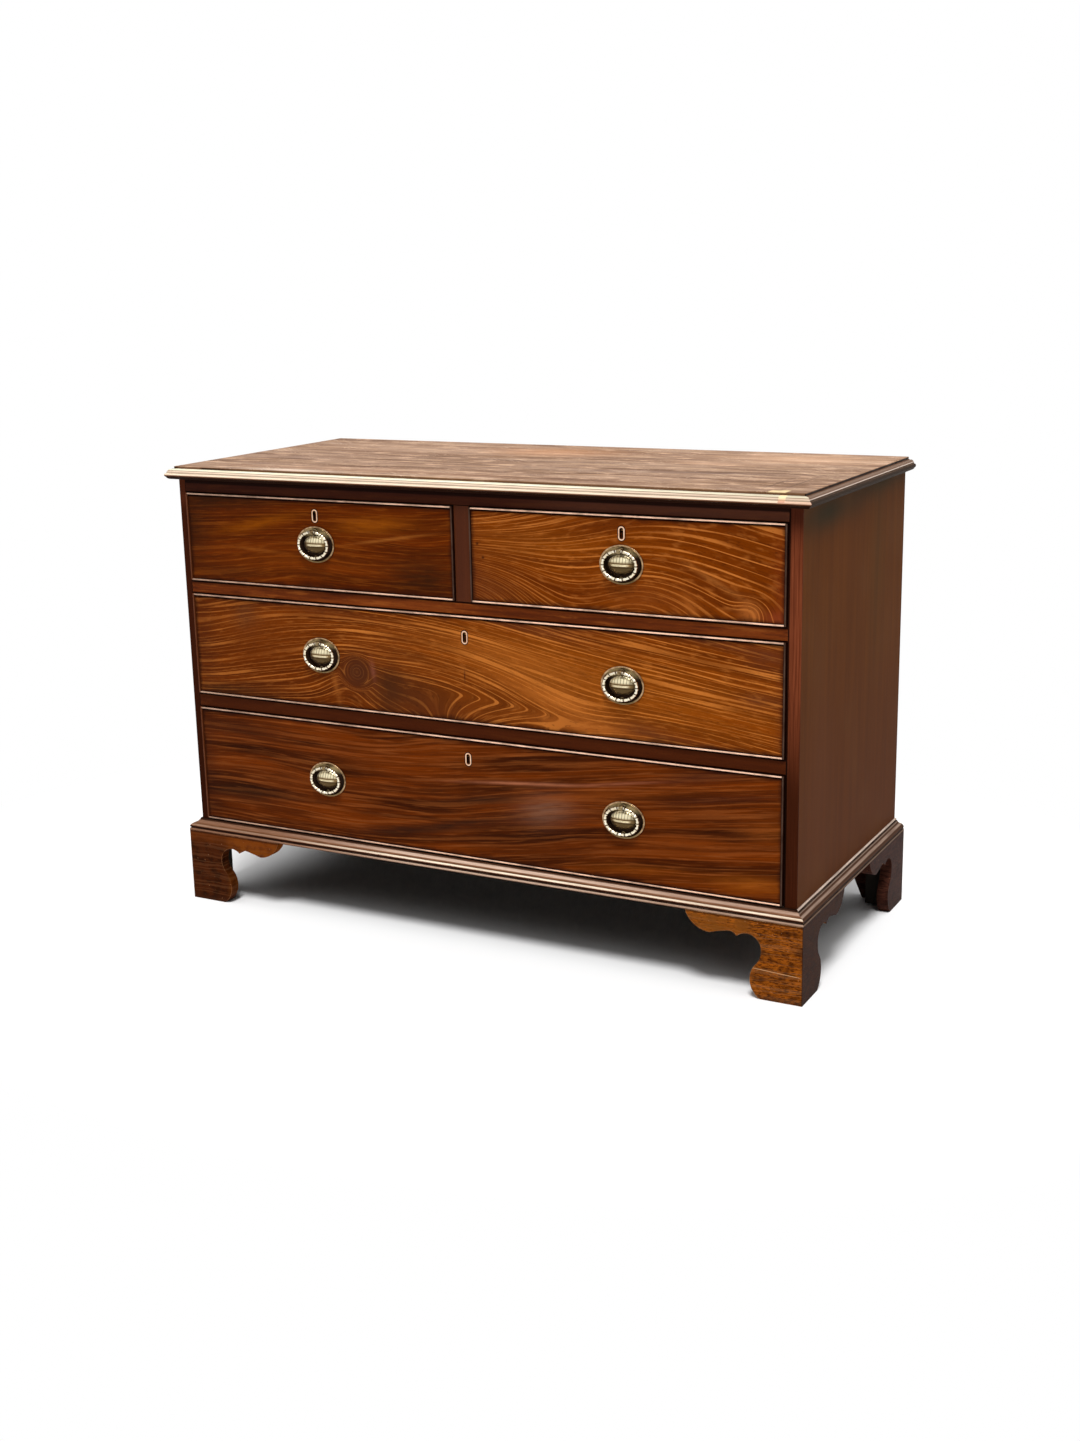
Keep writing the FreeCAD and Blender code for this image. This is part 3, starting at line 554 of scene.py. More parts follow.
polish_front(
    "upper_right", upper_right_figure, ((130, 58, 0), (100, 39, 0), (192, 112, 46), (56, 19, 2)),
    (4.6, 0.3, 0.9, 0.85), upper_right_clouds,
)

# %% [markdown]
# ## Middle front
# A knot left of the middle, wrapped in grain, with arrow-shaped lines pointing away from it to
# the right. Such arrows appear where the saw ran nearly along a ring: the ring goes out along
# the board, turns, and comes back. So below a line through the knot the height is folded back.

# %% Middle front
def middle_figure(across, height):
    figure = swell(height - across * -0.13, across, height, (
        (-90, 500, 210, 80, 0, 26),
        (-240, 440, 60, 50, 0, 26),
        (-620, 470, 220, 150, 0, -86),
        (330, 380, 160, 50, 0, 8),
    ))
    over = height - (across * -0.11 + 437.5)
    below = reckon("SMOOTH_MAX", over * -1, 0, 7)
    figure = figure + patch(across, 0, (90, 0, 135, 100, 0)) * 1.66 * below
    lean_in = patch(across, over, (100, 0, 170, 45, 0)) * (across - 90)
    figure = lean_in * 0.24 + figure
    from_knot = squashed_distance(across + 219, height - 458, 1, 0.93)
    in_knot = between(from_knot, 22, 40, 1, 0)
    return (from_knot * 1.1 + 378 - figure) * in_knot + figure


middle_clouds = [
    (-440, 480, 200, 120, 0, 0.6, 86, 34, 2),
    (-425, 525, 105, 44, 0, 0.5, 118, 54, 8),
    (260, 480, 330, 70, -8, 0.45, 160, 84, 14),
    (-20, 420, 200, 50, -6, 0.45, 112, 56, 14),
    (-550, 480, 34, 120, 0, 0.55, 66, 28, 10),
    (-490, 402, 90, 12, 3, 0.75, 44, 26, 12),
    (-448, 540, 26, 26, 0, 0.45, 78, 48, 28),
    (-219, 458, 30, 27, 0, 0.75, 70, 36, 20),
    (-219, 458, 12, 10, 0, 0.3, 50, 26, 16),
    (-186, 462, 5, 17, 8, 0.7, 150, 84, 62),
    (-150, 432, 32, 44, 0, 0.85, 62, 33, 14),
    (-60, 404, 80, 20, -6, 0.6, 96, 44, 14),
    (-120, 500, 70, 16, -14, 0.4, 104, 52, 14),
    (-262, 425, 6, 34, 12, 0.5, 164, 92, 34),
    (165, 445, 90, 17, -16, 0.7, 186, 106, 40),
    (215, 404, 90, 12, -4, 0.6, 180, 102, 40),
    (90, 505, 150, 26, -10, 0.45, 168, 94, 32),
    (180, 570, 150, 10, 0, 0.5, 92, 46, 24),
    (322, 408, 46, 16, -10, 0.65, 98, 50, 22),
    (520, 545, 34, 18, 0, 0.6, 92, 46, 24),
    (508, 478, 34, 12, 0, 0.45, 104, 56, 30),
    (552, 480, 14, 120, 0, 0.55, 80, 34, 16),
    (440, 562, 120, 8, -8, 0.6, 86, 42, 22),
    (420, 398, 130, 8, -6, 0.5, 84, 40, 18),
    (-219, 458, 42, 34, 0, 0.45, 66, 34, 18),
    (-120, 426, 74, 36, -8, 0.6, 70, 34, 14),
    (-300, 560, 160, 10, -4, 0.5, 84, 40, 16),
    (120, 560, 120, 10, -8, 0.4, 100, 50, 28),
    (-400, 410, 120, 16, 0, 0.45, 72, 30, 6),
    (-6, 470, 1.3, 9, 0, 0.8, 56, 24, 12),
]
polish_front(
    "middle", middle_figure, ((130, 57, 2), (88, 33, 0), (208, 124, 52), (40, 13, 2)),
    (7.4, 0.3, 0.85, 1), middle_clouds,
)

# %% [markdown]
# ## Bottom front
# A darker, striped board. Dark ribbons lie nearly flat at the left and climb to the right. The
# left part of the grain is levelled by a very wide swell.

# %% Bottom front
def bottom_figure(across, height):
    return swell(height - across * 0.14, across, height, (
        (-640, 260, 330, 500, 0, 62),
        (-60, 250, 90, 40, 0, -6),
        (250, 200, 130, 60, 0, 8),
        (-420, 280, 120, 50, 0, 7),
    ))


bottom_clouds = [
    (-480, 330, 110, 20, 0, 0.5, 60, 26, 10),
    (-470, 212, 100, 13, 2, 0.7, 46, 24, 10),
    (-330, 250, 90, 10, 2, 0.45, 116, 54, 14),
    (-240, 305, 90, 14, 2, 0.35, 116, 52, 12),
    (-150, 184, 90, 9, 8, 0.85, 40, 20, 10),
    (-20, 212, 90, 8, 12, 0.85, 42, 22, 12),
    (130, 240, 90, 7, 10, 0.6, 48, 22, 12),
    (30, 262, 80, 9, 8, 0.75, 46, 24, 12),
    # The next row is a painted reflection: a pale greyish glare on the polish.
    (140, 258, 46, 24, 12, 0.55, 122, 88, 70),
    (100, 298, 110, 2.6, 5, 0.75, 172, 106, 74),
    (270, 318, 90, 2.4, 9, 0.55, 158, 92, 62),
    (440, 312, 120, 6, 10, 0.6, 54, 24, 14),
    (440, 352, 110, 10, 13, 0.65, 54, 22, 14),
    (380, 235, 90, 14, 6, 0.5, 132, 60, 12),
    (500, 182, 60, 12, 4, 0.7, 146, 76, 16),
    (300, 178, 90, 9, 5, 0.5, 134, 66, 12),
    (230, 292, 120, 8, 9, 0.5, 140, 68, 20),
    (520, 270, 40, 14, 6, 0.5, 140, 70, 20),
    (100, 190, 140, 14, 4, 0.35, 96, 42, 8),
    (-555, 260, 22, 120, 0, 0.5, 48, 20, 10),
]
polish_front(
    "bottom", bottom_figure, ((116, 48, 2), (50, 16, 1), (154, 84, 36), (26, 8, 2)),
    (13, 0.4, 0.3, 1), bottom_clouds, 2.6,
)

# %% [markdown]
# ## Rails, divider and side boards
# The rails between the drawers are plain, straight-grained mahogany that has been rubbed less
# than the fronts. The rail under the overhanging top is painted nearly black, as the painted
# shadow of the overhang, and thin painted shadow lines run along the gaps by the drawers. The
# sides are one wide board each with the grain standing up, and so much old polish that little
# grain shows.

# %% Plain carcase mahogany
def plain_mahogany(name, upright, ground, streak, worn, shine, streak_strength=0.55):
    """Straight grain along the board."""
    finish = Finish(name, ground, shine)
    across, depth, height = finish.place
    figure = depth + across * 0.7 if upright else height + depth * 0.7
    along = height if upright else across
    rings = use(growth_lines, Figure=figure, Along=along, Spacing=7, Share=0.6)
    fibre = finish.fibres(Figure=figure, Along=along, Length=110, Fineness=1.8)
    finish.stain(rings["Bands"] * streak_strength, streak)
    finish.stain(fibre["Fibres"] * 0.25, streak)
    finish.stain(fibre["Pores"] * 0.35, (28, 12, 8))
    finish.rub_edges(0.0012, 0.45, worn)
    return finish


finish = plain_mahogany(
    "rail_mahogany", False, (128, 60, 20), (76, 30, 9), (156, 96, 58), 0.02, 0.9
)
across, depth, height = finish.place
flame = cloud(across / 75, height / 9, 2, 4, 0.6)
finish.fade(flame, 0.5, 0.68, 0.55, 150, 80, 30)
finish.fade(flame, 0.47, 0.3, 0.6, 56, 22, 12)
# Painted shadow of the overhanging top over the top rail, lighter to the right.
shade = stain(between(across, 60, 240), (46, 21, 16), (74, 43, 32))
finish.stain(between(height, 735, 757, 0, 0.85), shade)
finish.fade(height, 420, 380, 0.86, 58, 22, 6)
# Thin painted shadow lines along the rails' edges, in the gaps by the drawers.
for gap_shadow_low, gap_shadow_high in (
    (364, 366.6), (386.9, 391.1), (571.5, 574.1), (591.6, 596.2), (750.2, 752.8),
):
    finish.stain(band(height, gap_shadow_low, gap_shadow_high, 0.4) * 0.94, (14, 2, 0))
# A darker band of painted shadow just under the moulding.
finish.fade(height, 765.5, 768, 0.9, 22, 7, 4)
finish.end(0.48, 0.12)
dress(finish, "drawer_rails", "top_rails")

finish = plain_mahogany(
    "divider_mahogany", True, (84, 40, 18), (62, 28, 15), (140, 86, 56), 0.06
)
finish.end(0.48, 0.12)
dress(finish, "centre_divider")
print("rails and divider are dressed")

# %% [markdown]
# ## The side boards
# Seen in a raking light the side is a dark, even brown with faint upright streaks, redder
# towards the foot. Just under the overhanging top a dark greenish band is painted: painted
# shadow with a painted greenish reflection.

# %% Side boards
finish = plain_mahogany(
    "side_mahogany", True, (98, 54, 18), (72, 39, 16), (150, 104, 76), 0.008, 0.5
)
across, depth, height = finish.place
finish.fade(height, 620, 200, 0.5, 82, 46, 30)
# The first two rows are a dark greenish band just under the top: painted shadow of the overhang
# with a painted greenish reflection.
for row in (
    (-120, 754, 140, 26, 0, 0.9, 42, 41, 27),
    (140, 772, 180, 22, 0, 0.8, 46, 40, 25),
    (-60, 690, 60, 90, 0, 0.35, 104, 58, 22),
    (120, 640, 40, 160, 0, 0.3, 78, 58, 30),
    (-150, 360, 50, 160, 0, 0.25, 100, 60, 38),
):
    finish.smudge(depth, height, row)
hazy = cloud(depth / 150, height / 220)
finish.fade(hazy, 0.45, 0.75, 0.35, 98, 62, 34)
front = stain(finish.fibre["Fibres"], (126, 64, 38), (88, 40, 22))
front = stain(between(height, 520, 320, 0, 0.88), front, (44, 16, 5))
# Darker just under the top: painted shade under the overhang.
front = stain(between(height, 700, 765, 0, 0.7), front, (48, 18, 12))
left_front = stain(between(height, 715, 745), (46, 17, 6), (78, 36, 20))
front = stain(between(across, 0, -100, 0, 0.92), front, left_front)
finish.stain(between(depth, -244, -246.5), front)
# A painted shadow line along the inner front edges, in the gaps beside the drawers.
finish.stain(band(across, -562.6, 556.2, 0.4) * 0.9, (16, 6, 4))
finish.end(0.5, 0.1)
dress(finish, "side_left", "side_right")
print("sides are dressed")

# %% [markdown]
# ## The faded top
# The top took the sun, hot cups and a century of things dragged over it. It has bleached to a
# pinkish tan, with grey-brown streaks along the grain, an orange place at the back and many fine
# scratches. Scratches are noise stretched very long, cut at a high level and laid at three
# different angles.

# %% Scratch group
scratches, entry, result = start_group(
    "scratches", {"Across": 0, "Depth": 0, "Turn": 0, "Level": 0.7}, ["Mask"]
)
turn = entry["Turn"]
along, away = turned(entry["Across"], entry["Depth"], turn)
away = cloud(along / 90, away / 160, turn) * 34 + away
hair = cloud(along / 46, away, turn, 0)
hair = between(hair, entry["Level"], entry["Level"] + 0.07)
busy = cloud(entry["Across"] / 90, entry["Depth"] / 70, turn)
connect(hair * between(busy, 0.52, 0.68), result["Mask"])
print("scratches are hairs about 1 mm wide")

# %% Faded top
finish = Finish("faded_top", (176, 137, 106), 0.08)
across, depth, height = finish.place
figure = cloud(across / 260, depth / 70) * 40 + depth
rings = use(growth_lines, Figure=figure, Along=across, Spacing=15, Share=0.5, Wander=2.5)
fibre = finish.fibres(Figure=figure, Along=across, Depth=height, Length=80, Fineness=1.6)
finish.stain(rings["Bands"], (108, 75, 53))
finish.stain(fibre["Fibres"] * 0.5, (104, 72, 50))
finish.stain(rings["Lines"] * 0.45, (200, 160, 122))
rubs = cloud(across / 60, depth / 20, 4, 4, 0.62)
finish.fade(rubs, 0.52, 0.68, 0.65, 222, 181, 149)
finish.fade(rubs, 0.48, 0.32, 0.6, 98, 62, 42)
specks = cloud(across / 7, depth / 13, 8, 3, 0.7)
finish.fade(specks, 0.6, 0.74, 0.6, 234, 202, 174)
finish.fade(specks, 0.4, 0.28, 0.5, 96, 66, 46)
top_clouds = [
    (-40, 150, 120, 60, 4, 0.55, 196, 134, 84),
    (240, -72, 230, 16, 8, 0.6, 104, 74, 56),
    (370, -58, 60, 12, 6, 0.6, 88, 60, 46),
    (-380, 120, 160, 60, 0, 0.35, 176, 138, 108),
    (430, 170, 130, 70, 0, 0.6, 224, 178, 142),
    (300, 60, 60, 24, 0, 0.5, 222, 176, 142),
    (-200, -200, 300, 26, 0, 0.4, 176, 134, 104),
    (-335, -238, 80, 13, 0, 0.85, 240, 214, 192),
    (100, 20, 240, 14, 3, 0.5, 108, 76, 54),
    (-450, -60, 90, 30, 5, 0.45, 112, 78, 60),
    (-160, 60, 200, 22, 0, 0.4, 128, 92, 66),
    (500, -150, 1.4, 90, 0, 0.7, 70, 46, 32),
    (532, -140, 1.4, 90, 0, 0.7, 70, 46, 32),
]
for row in top_clouds:
    finish.smudge(across, depth, row)
finish.stain(fibre["Pores"] * 0.4, (84, 56, 42))
for turn, level, strength, tone in (
    (14, 0.64, 0.8, (226, 190, 160)),
    (-38, 0.66, 0.75, (232, 198, 168)),
    (71, 0.68, 0.5, (90, 60, 46)),
):
    hairs = use(scratches, Across=across, Depth=depth, Turn=math.radians(turn), Level=level)
    finish.stain(hairs["Mask"] * strength, tone)
repair = band(across, 521, 549, 2) * between(rubs * 60 + depth, -196, -200)
finish.stain(repair * 0.85, (240, 212, 160))
finish.rub_edges(0.002, 0.4, (206, 170, 142))
# Below the arris the board's edge and the quirk under it are darkened, partly dirt and partly
# painted shade; on the side face and at the left end the quirk is painted darkest, as painted
# shade.
finish.fade(height, 795.8, 795.3, 0.85, 104, 70, 48)
on_side = between(across, 577, 579)
at_left = between(across, -400, -540)
quirk = stain(most(on_side, at_left), (112, 80, 56), (26, 12, 7))
quirk_mask = between(height, 795.3, 794.6) * between(rubs, 0.6, 0.5)
quirk_mask = most(quirk_mask, on_side * 0.9) * between(depth, 262, 258)
finish.stain(quirk_mask * between(height, 795.6, 795, 0, 0.95), quirk)
finish.end(between(rings["Bands"], 0, 1, 0.46, 0.6), 0.18)
dress(finish, "top_board")
print("top has", len(top_clouds), "clouds and three sets of scratches")

# %% [markdown]
# ## Mouldings
# The polish has gone from the high parts of the mouldings and dirt sits in the hollows. A
# moulding is planed along its whole length, so its colour depends mostly on which member of the
# profile a point is on, and that is simply the height. Besides bleaching, wear and dirt, the
# member tones hold painted light: painted highlights on the rounded members, painted shade in
# the hollows and under the nose, and a side face painted darker as painted shade. The wear comes
# and goes along the length, and the pale members can be dimmed towards the left end. An ambient
# occlusion mask adds dirt and painted shade in the profile's hollows.

# %% Corner dirt group
DIRT_AND_SHADE_REACH = 0.003
# Ambient occlusion darkens the hollows: dirt there, and painted shade as well.
corner_dirt_and_shade, entry, result = start_group("corner dirt and shade", {"Reach": DIRT_AND_SHADE_REACH}, ["Dirt"])
open_air = place_node(
    corner_dirt_and_shade, "AmbientOcclusion", {"Distance": entry["Reach"]}, "AO", samples=6
)
connect(between(open_air, 0.45, 0.95, 1, 0), result["Dirt"])
print("corner dirt and shade reaches", DIRT_AND_SHADE_REACH * 1000, "mm")

# %% Mouldings
SIDE_FACE = 575
FRONT_FACE = -247


def moulding(name, front_members, side_members, ground, fade, middle, half_length, left_end_level):
    """members: lowest, highest, soft, strength at the ends and in the middle, colour."""
    finish = Finish(name, ground)
    across, depth, height = finish.place
    length_wise = across + depth
    fibre = finish.fibres(Figure=height * 0.7, Along=length_wise, Length=45, Fineness=0.9)
    finish.stain(fibre["Fibres"], (106, 68, 46))
    left_end_dimming = between(across, -450, -130, left_end_level, 1)
    rubbed = between(cloud(length_wise / 70, height, 0, 3, 0.6), 0.3, 0.62, fade, 1)
    bleached = patch(across, 0, (middle, 0, half_length, 100, 0))
    on_side = between(abs(across) - SIDE_FACE - (FRONT_FACE - depth), -0.2, 0.2)
    for members, where in ((front_members, 1 - on_side), (side_members, on_side)):
        for low, high, soft, at_ends, in_middle, *tone in members:
            amount = band(height, low, high, soft) * where
            amount = amount * between(bleached, 0, 1, at_ends, in_middle)
            if sum(paint(*tone)[:3]) > 0.3:
                amount = amount * rubbed * left_end_dimming
            finish.stain(amount, tuple(tone))
    # Dirt and painted shade in the profile's hollows.
    finish.stain(use(corner_dirt_and_shade, finish.tree)["Dirt"] * 0.5, (34, 18, 13))
    finish.rub_edges(0.001, left_end_dimming * 0.25, (226, 196, 168))
    return finish


# Front of the top moulding: pale bleached members that also carry painted highlights, and under
# the nose a near-black member of painted shade.
front_members = [
    (789.7, 792.4, 0.4, 0.65, 1, 255, 250, 220),
    (786.8, 788.9, 0.4, 0.8, 0.95, 252, 230, 204),
    (785, 786.5, 0.4, 0.7, 0.85, 244, 222, 196),
    (781.8, 784.8, 0.4, 0.9, 1, 254, 232, 204),
    (780, 781.4, 0.3, 0.6, 0.35, 96, 62, 44),
    (770, 780, 0.5, 0.97, 0.97, 26, 7, 2),
]
# Side of the top moulding: painted darker than the front as painted shade, with one pale line of
# painted highlight.
side_members = [
    (791.7, 792.6, 0.3, 0.7, 0.7, 70, 46, 32),
    (789.9, 791.4, 0.4, 0.9, 0.9, 122, 104, 90),
    (788.4, 789.8, 0.4, 0.9, 0.9, 116, 97, 84),
    (787, 788.2, 0.3, 0.97, 0.97, 226, 208, 194),
    (785, 786.8, 0.4, 0.9, 0.9, 78, 66, 54),
    (770, 784.9, 0.5, 0.96, 0.96, 44, 33, 24),
]
finish = moulding(
    "bleached_top_moulding", front_members, side_members, (140, 96, 70), 0.65, -160, 560, 1
)
across, depth, height = finish.place
above_cove = between(height, 780.5, 782.5)
repair = stain(between(height, 784, 789.5), (214, 160, 134), (250, 226, 180))
finish.stain(band(across, 541, 552, 1) * above_cove * 0.9, repair)
new_corner = between(across, 552, 553) * between(depth, -262, -263) * above_cove
finish.stain(new_corner * 0.4, (214, 150, 122))
finish.end(0.5, 0.15)
dress(finish, "top_moulding")

# Front of the base moulding: a black line of painted shadow under the drawer bead at the top,
# pale bleached members with painted highlights, black painted shade in the deep hollow, and a
# darker lowest member.
front_members = [
    (150.8, 153, 0.3, 0.96, 0.96, 14, 2, 0),
    (148.6, 151, 0.4, 0.8, 0.55, 32, 7, 2),
    (144.6, 148.3, 0.6, 0.4, 0.8, 238, 208, 186),
    (142.7, 143.7, 0.3, 0.5, 0.8, 74, 48, 28),
    (140.4, 142.7, 0.4, 0.85, 1, 255, 236, 210),
    (134.9, 139.5, 0.4, 0.97, 0.97, 28, 4, 0),
    (131.9, 134.8, 0.4, 0.5, 0.85, 212, 184, 162),
    (129, 131.8, 0.3, 0.85, 0.7, 54, 28, 16),
]
# Side of the base moulding: painted darker all over as painted shade, with pale lines of painted
# highlight and black painted shade in the hollows.
side_members = [
    (129, 153, 0.3, 0.92, 0.92, 66, 44, 32),
    (150.1, 152.6, 0.4, 0.92, 0.92, 216, 194, 178),
    (148.2, 149.8, 0.3, 0.97, 0.97, 14, 3, 0),
    (146.2, 147.5, 0.3, 0.8, 0.8, 150, 128, 114),
    (142.9, 144.2, 0.4, 0.85, 0.85, 160, 136, 120),
    (140.9, 142, 0.4, 0.6, 0.6, 60, 38, 26),
    (134.9, 138.8, 0.4, 0.94, 0.94, 32, 14, 5),
    (132.2, 134.1, 0.4, 0.75, 0.75, 134, 112, 94),
]
finish = moulding(
    "bleached_base_moulding", front_members, side_members, (140, 98, 72), 0.5, 40, 260, 0.15
)
finish.end(0.5, 0.15)
dress(finish, "base_moulding")
print("mouldings have a tone for each member")

# %% [markdown]
# ## Bracket feet
# The feet are light mahogany where boots and brooms have rubbed them, with short dark grain
# lines running level. The front right foot, the lightest on the chest, is painted golden as the
# lit one; the front left one is painted darker as painted shade, and the side face of the front
# right foot is painted darker as painted shade too. Their arrises are worn pale, and here and
# there a chip shows the bare wood.

# %% Bracket feet
def foot_finish(name, ground, streak, worn, wear, side_shade, wing_tone=None, grain=1):
    finish = Finish(name, ground)
    across, depth, height = finish.place
    along = across + depth
    figure = cloud(along / 70, height / 26) * 12 + height
    rings = use(growth_lines, Figure=figure, Along=along, Spacing=8, Share=0.5)
    fibre = finish.fibres(Figure=figure, Along=along, Length=9, Fineness=1.5)
    blotch = cloud(along / 24, height / 14, 6, 3, 0.6)
    finish.fade(blotch, 0.42, 0.66, 0.75, *streak)
    finish.stain(rings["Bands"] * (0.35 * grain), streak)
    finish.fade(fibre["Fibres"], 0.4, 0.8, 0.85 * grain, *streak)
    finish.stain(fibre["Pores"] * 0.7, (40, 20, 10))
    finish.stain(rings["Lines"] * 0.07, worn)
    if wing_tone:
        wing = between(abs(across), 520, 490)
        finish.stain(wing * between(blotch, 0.35, 0.6, 0.1, 0.6), wing_tone)
        finish.fade(height, 102, 122, 0.45 - 0.45 * grain, 112, 52, 10)
    finish.fade(height, 14, 0, 0.6, 46, 24, 14)
    # A dark band just under the base moulding: painted shadow.
    finish.fade(height, 126.5, 129.5, 0.8, 40, 18, 6)
    cut = band(along * 0.05 + height, 62.6, 63.6, 0.4) * between(blotch, 0.4, 0.5, 0.2, 0.8)
    cut = cut * between(depth, -262, -264) * between(across, 0, 10)
    finish.stain(cut, worn)
    finish.rub_edges(0.0016, wear, worn)
    chips = cloud(along / 5, height / 5, 0, 1)
    finish.fade(chips, 0.73, 0.76, 0.35, 190, 138, 96)
    # The side face beyond 590.5 mm is painted darker: painted shade.
    finish.fade(abs(across) - 590.5, 0, 1.5, side_shade, 38, 19, 12)
    finish.end(0.5, 0.2)
    return finish


# The golden foot is the lit copy and the shaded foot the painted shade copy.
lit_golden_foot = foot_finish("lit_golden_foot", (160, 84, 16), (44, 16, 2), (214, 166, 118),
                          0.7, 0.92, (136, 78, 24))
shaded_foot = foot_finish("shaded_foot", (66, 27, 4), (30, 9, 0), (190, 130, 86),
                          0.6, 0, (140, 72, 14), 0)
dark_foot = foot_finish("dark_foot", (74, 40, 30), (32, 14, 10), (130, 86, 64), 0.5, 0.3)
dress(lit_golden_foot, "foot_front_right")
dress(shaded_foot, "foot_front_left")
dress(dark_foot, "foot_back_left", "foot_back_right")
print("feet are dressed")

# %% [markdown]
# ## Cockbead
# A rounded strip stands proud all round each drawer front. Its crown is rubbed by every duster
# that has passed, and its root is dark. The pale pink line on the crown is partly that wear and
# partly a painted highlight of the light from above, so the uprights get almost none of it. The
# strip is only three millimetres thick, so the pale line follows how far it stands out of the
# front.

# %% Cockbead
finish = Finish("rubbed_and_lit_cockbead", (40, 17, 10), 0.01)
across, depth, height = finish.place
fibre = finish.fibres(Figure=depth, Along=across + height, Length=30, Fineness=0.8)
finish.stain(fibre["Fibres"], (22, 7, 3))
rubbed = cloud(across / 45, height / 45, 0, 3, 0.65)
rubbed = between(rubbed, 0.3, 0.62, 0.45, 1)
middle_uprights = band(across, -23, 15, 0.3) * between(height, 576, 577)
right_uprights = between(across, 548.3, 548.8)
left_uprights = between(across, -556.3, -556.8)
upright = most(middle_uprights, most(left_uprights, right_uprights))
# The uprights get almost none of the pale line, since it is partly a painted highlight of light
# from above.
rubbed = rubbed * (upright * -0.93 + 1) * between(across, -560, 160, 0.5, 1)
finish.stain(left_uprights * 0.9, (88, 42, 18))
# The pale crown line: wear and a painted highlight.
finish.stain(between(depth, -250.8, -251.25) * rubbed, (255, 208, 178))
finish.end(0.38, 0.08)
dress(finish, *[name for name in chest if name.endswith("_drawer_cockbead")])

# %% [markdown]
# ## Linings and hidden wood
# Drawer sides and backs are oak: tan, open grained, darkened by handling along the top edge.
# The bottoms have grain running from side to side. The carcase boards behind the mahogany are
# pine, planed and never polished, gone brown with age and dust. What faces the floor is sooty.

# %% Oak and pine
DRAWER_SHIFT = 4
OAK = ((168, 128, 84), (148, 108, 66), (126, 88, 52), (88, 60, 36))
PINE = ((150, 112, 72), (128, 92, 58), (104, 68, 38), (86, 58, 36))
SOOT = ((44, 38, 32), (36, 31, 26), (28, 24, 20), (20, 17, 14))


def plain_wood(name, figure_axis, along_axis, wood, spacing, rough=0.7, seams=()):
    """The axes are numbered 0 across, 1 depth, 2 height."""
    ground, band_colour, line_colour, pore_colour = wood
    finish = Finish(name, ground, 0.15)
    across, depth, height = finish.place
    along = finish.place[along_axis]
    figure = finish.place[figure_axis]
    third = finish.place[3 - along_axis - figure_axis]
    waver = cloud(along / 160, figure / 60, third / 60)
    figure = third * 0.45 + (waver * 26 + figure)
    for seam in seams:
        figure = reckon("GREATER_THAN", height, seam) * 87 + figure
    rings = use(growth_lines, Figure=figure, Along=along, Spacing=spacing, Share=0.5)
    fibre = finish.fibres(Figure=figure, Along=along, Length=45, Fineness=1.2)
    finish.stain(rings["Bands"], band_colour)
    finish.stain(rings["Lines"] * 0.5, line_colour)
    finish.stain(fibre["Fibres"] * 0.3, line_colour)
    finish.stain(fibre["Pores"] * 0.6, pore_colour)
    finish.rub_edges(0.0012, 0.3, pore_colour)
    for seam in seams:
        finish.stain(band(height, seam - 0.7, seam + 0.7, 0.3) * 0.85, (24, 15, 9))
    if seams:
        from_edge = abs(across + DRAWER_SHIFT) - 557
        from_row = reckon("PINGPONG", height - 131, 53.6) - 26.8
        nail = squashed_distance(from_edge, from_row, 2.6, 2.6)
        finish.stain(between(nail, 0.8, 1.1, 0.9, 0), (30, 24, 20))
    finish.end(rough, 0.2)
    return finish


drawers = ("upper_left", "upper_right", "middle", "bottom")
for lining, figure_axis, along_axis, spacing, board in (
    ("oak_sides", 2, 1, 9, "_drawer_sides"),
    ("oak_backs", 2, 0, 9, "_drawer_back"),
    ("oak_bottoms", 1, 0, 12, "_drawer_bottom"),
):
    finish = plain_wood(lining, figure_axis, along_axis, OAK, spacing)
    dress(finish, *[drawer + board for drawer in drawers])
dress(plain_wood("pine_level", 1, 0, PINE, 14), "dustboards", "drawer_stops")
dress(plain_wood("pine_runners", 2, 1, PINE, 8), "drawer_runners")
dress(plain_wood("pine_back", 2, 0, PINE, 11, 0.8, (345.3, 559.7)), "back_boards")
dress(plain_wood("sooty_board", 1, 0, SOOT, 14, 0.9), "bottom_board")
dress(plain_wood("sooty_blocks", 0, 2, SOOT, 14, 0.9), "foot_blocks")
print("linings and hidden boards are dressed")

# %% [markdown]
# ## Brass and lock steel
# Old brass is bright where fingers rub and brown in the hollows. On a metal the base colour
# tints the reflection, so the tarnish goes in the colour and in the roughness at the same
# places. On a handle the colour also holds painted light that follows the casting: the rim keeps
# its bright brass, the upper half of the boss has a painted highlight, and the rest of the boss,
# the field and the lower plate have painted shade over their tarnish. The ring is painted darker
# near the post, and the escutcheon nearly black around its outline, both as painted shade. So a
# second ruler measures from the middle of the nearest handle.

# %% Handle ruler group
HANDLE_X = 285.75
PLATE_HALF = (37.5, 31)
BOSS_HALF = (22.8, 15.8)
RING_HALF = (28.7, 22.2)
BINDINGS = 14


def nearest_row(height, row, *steps):
    """The middle height of a point's row. A step is where the next row starts and its rise."""
    for start, rise in steps:
        row = reckon("GREATER_THAN", height, start) * rise + row
    return row


handle_ruler, entry, result = start_group(
    "handle ruler", {"Across": 0, "Height": 0}, ["Side", "Up"]
)
connect(abs(entry["Across"] + DRAWER_SHIFT) - HANDLE_X, result["Side"])
row_height = nearest_row(entry["Height"], 259.4, (370, 221.9), (577, 191.9))
connect(entry["Height"] - row_height, result["Up"])
print("handles are", HANDLE_X * 2, "mm apart")

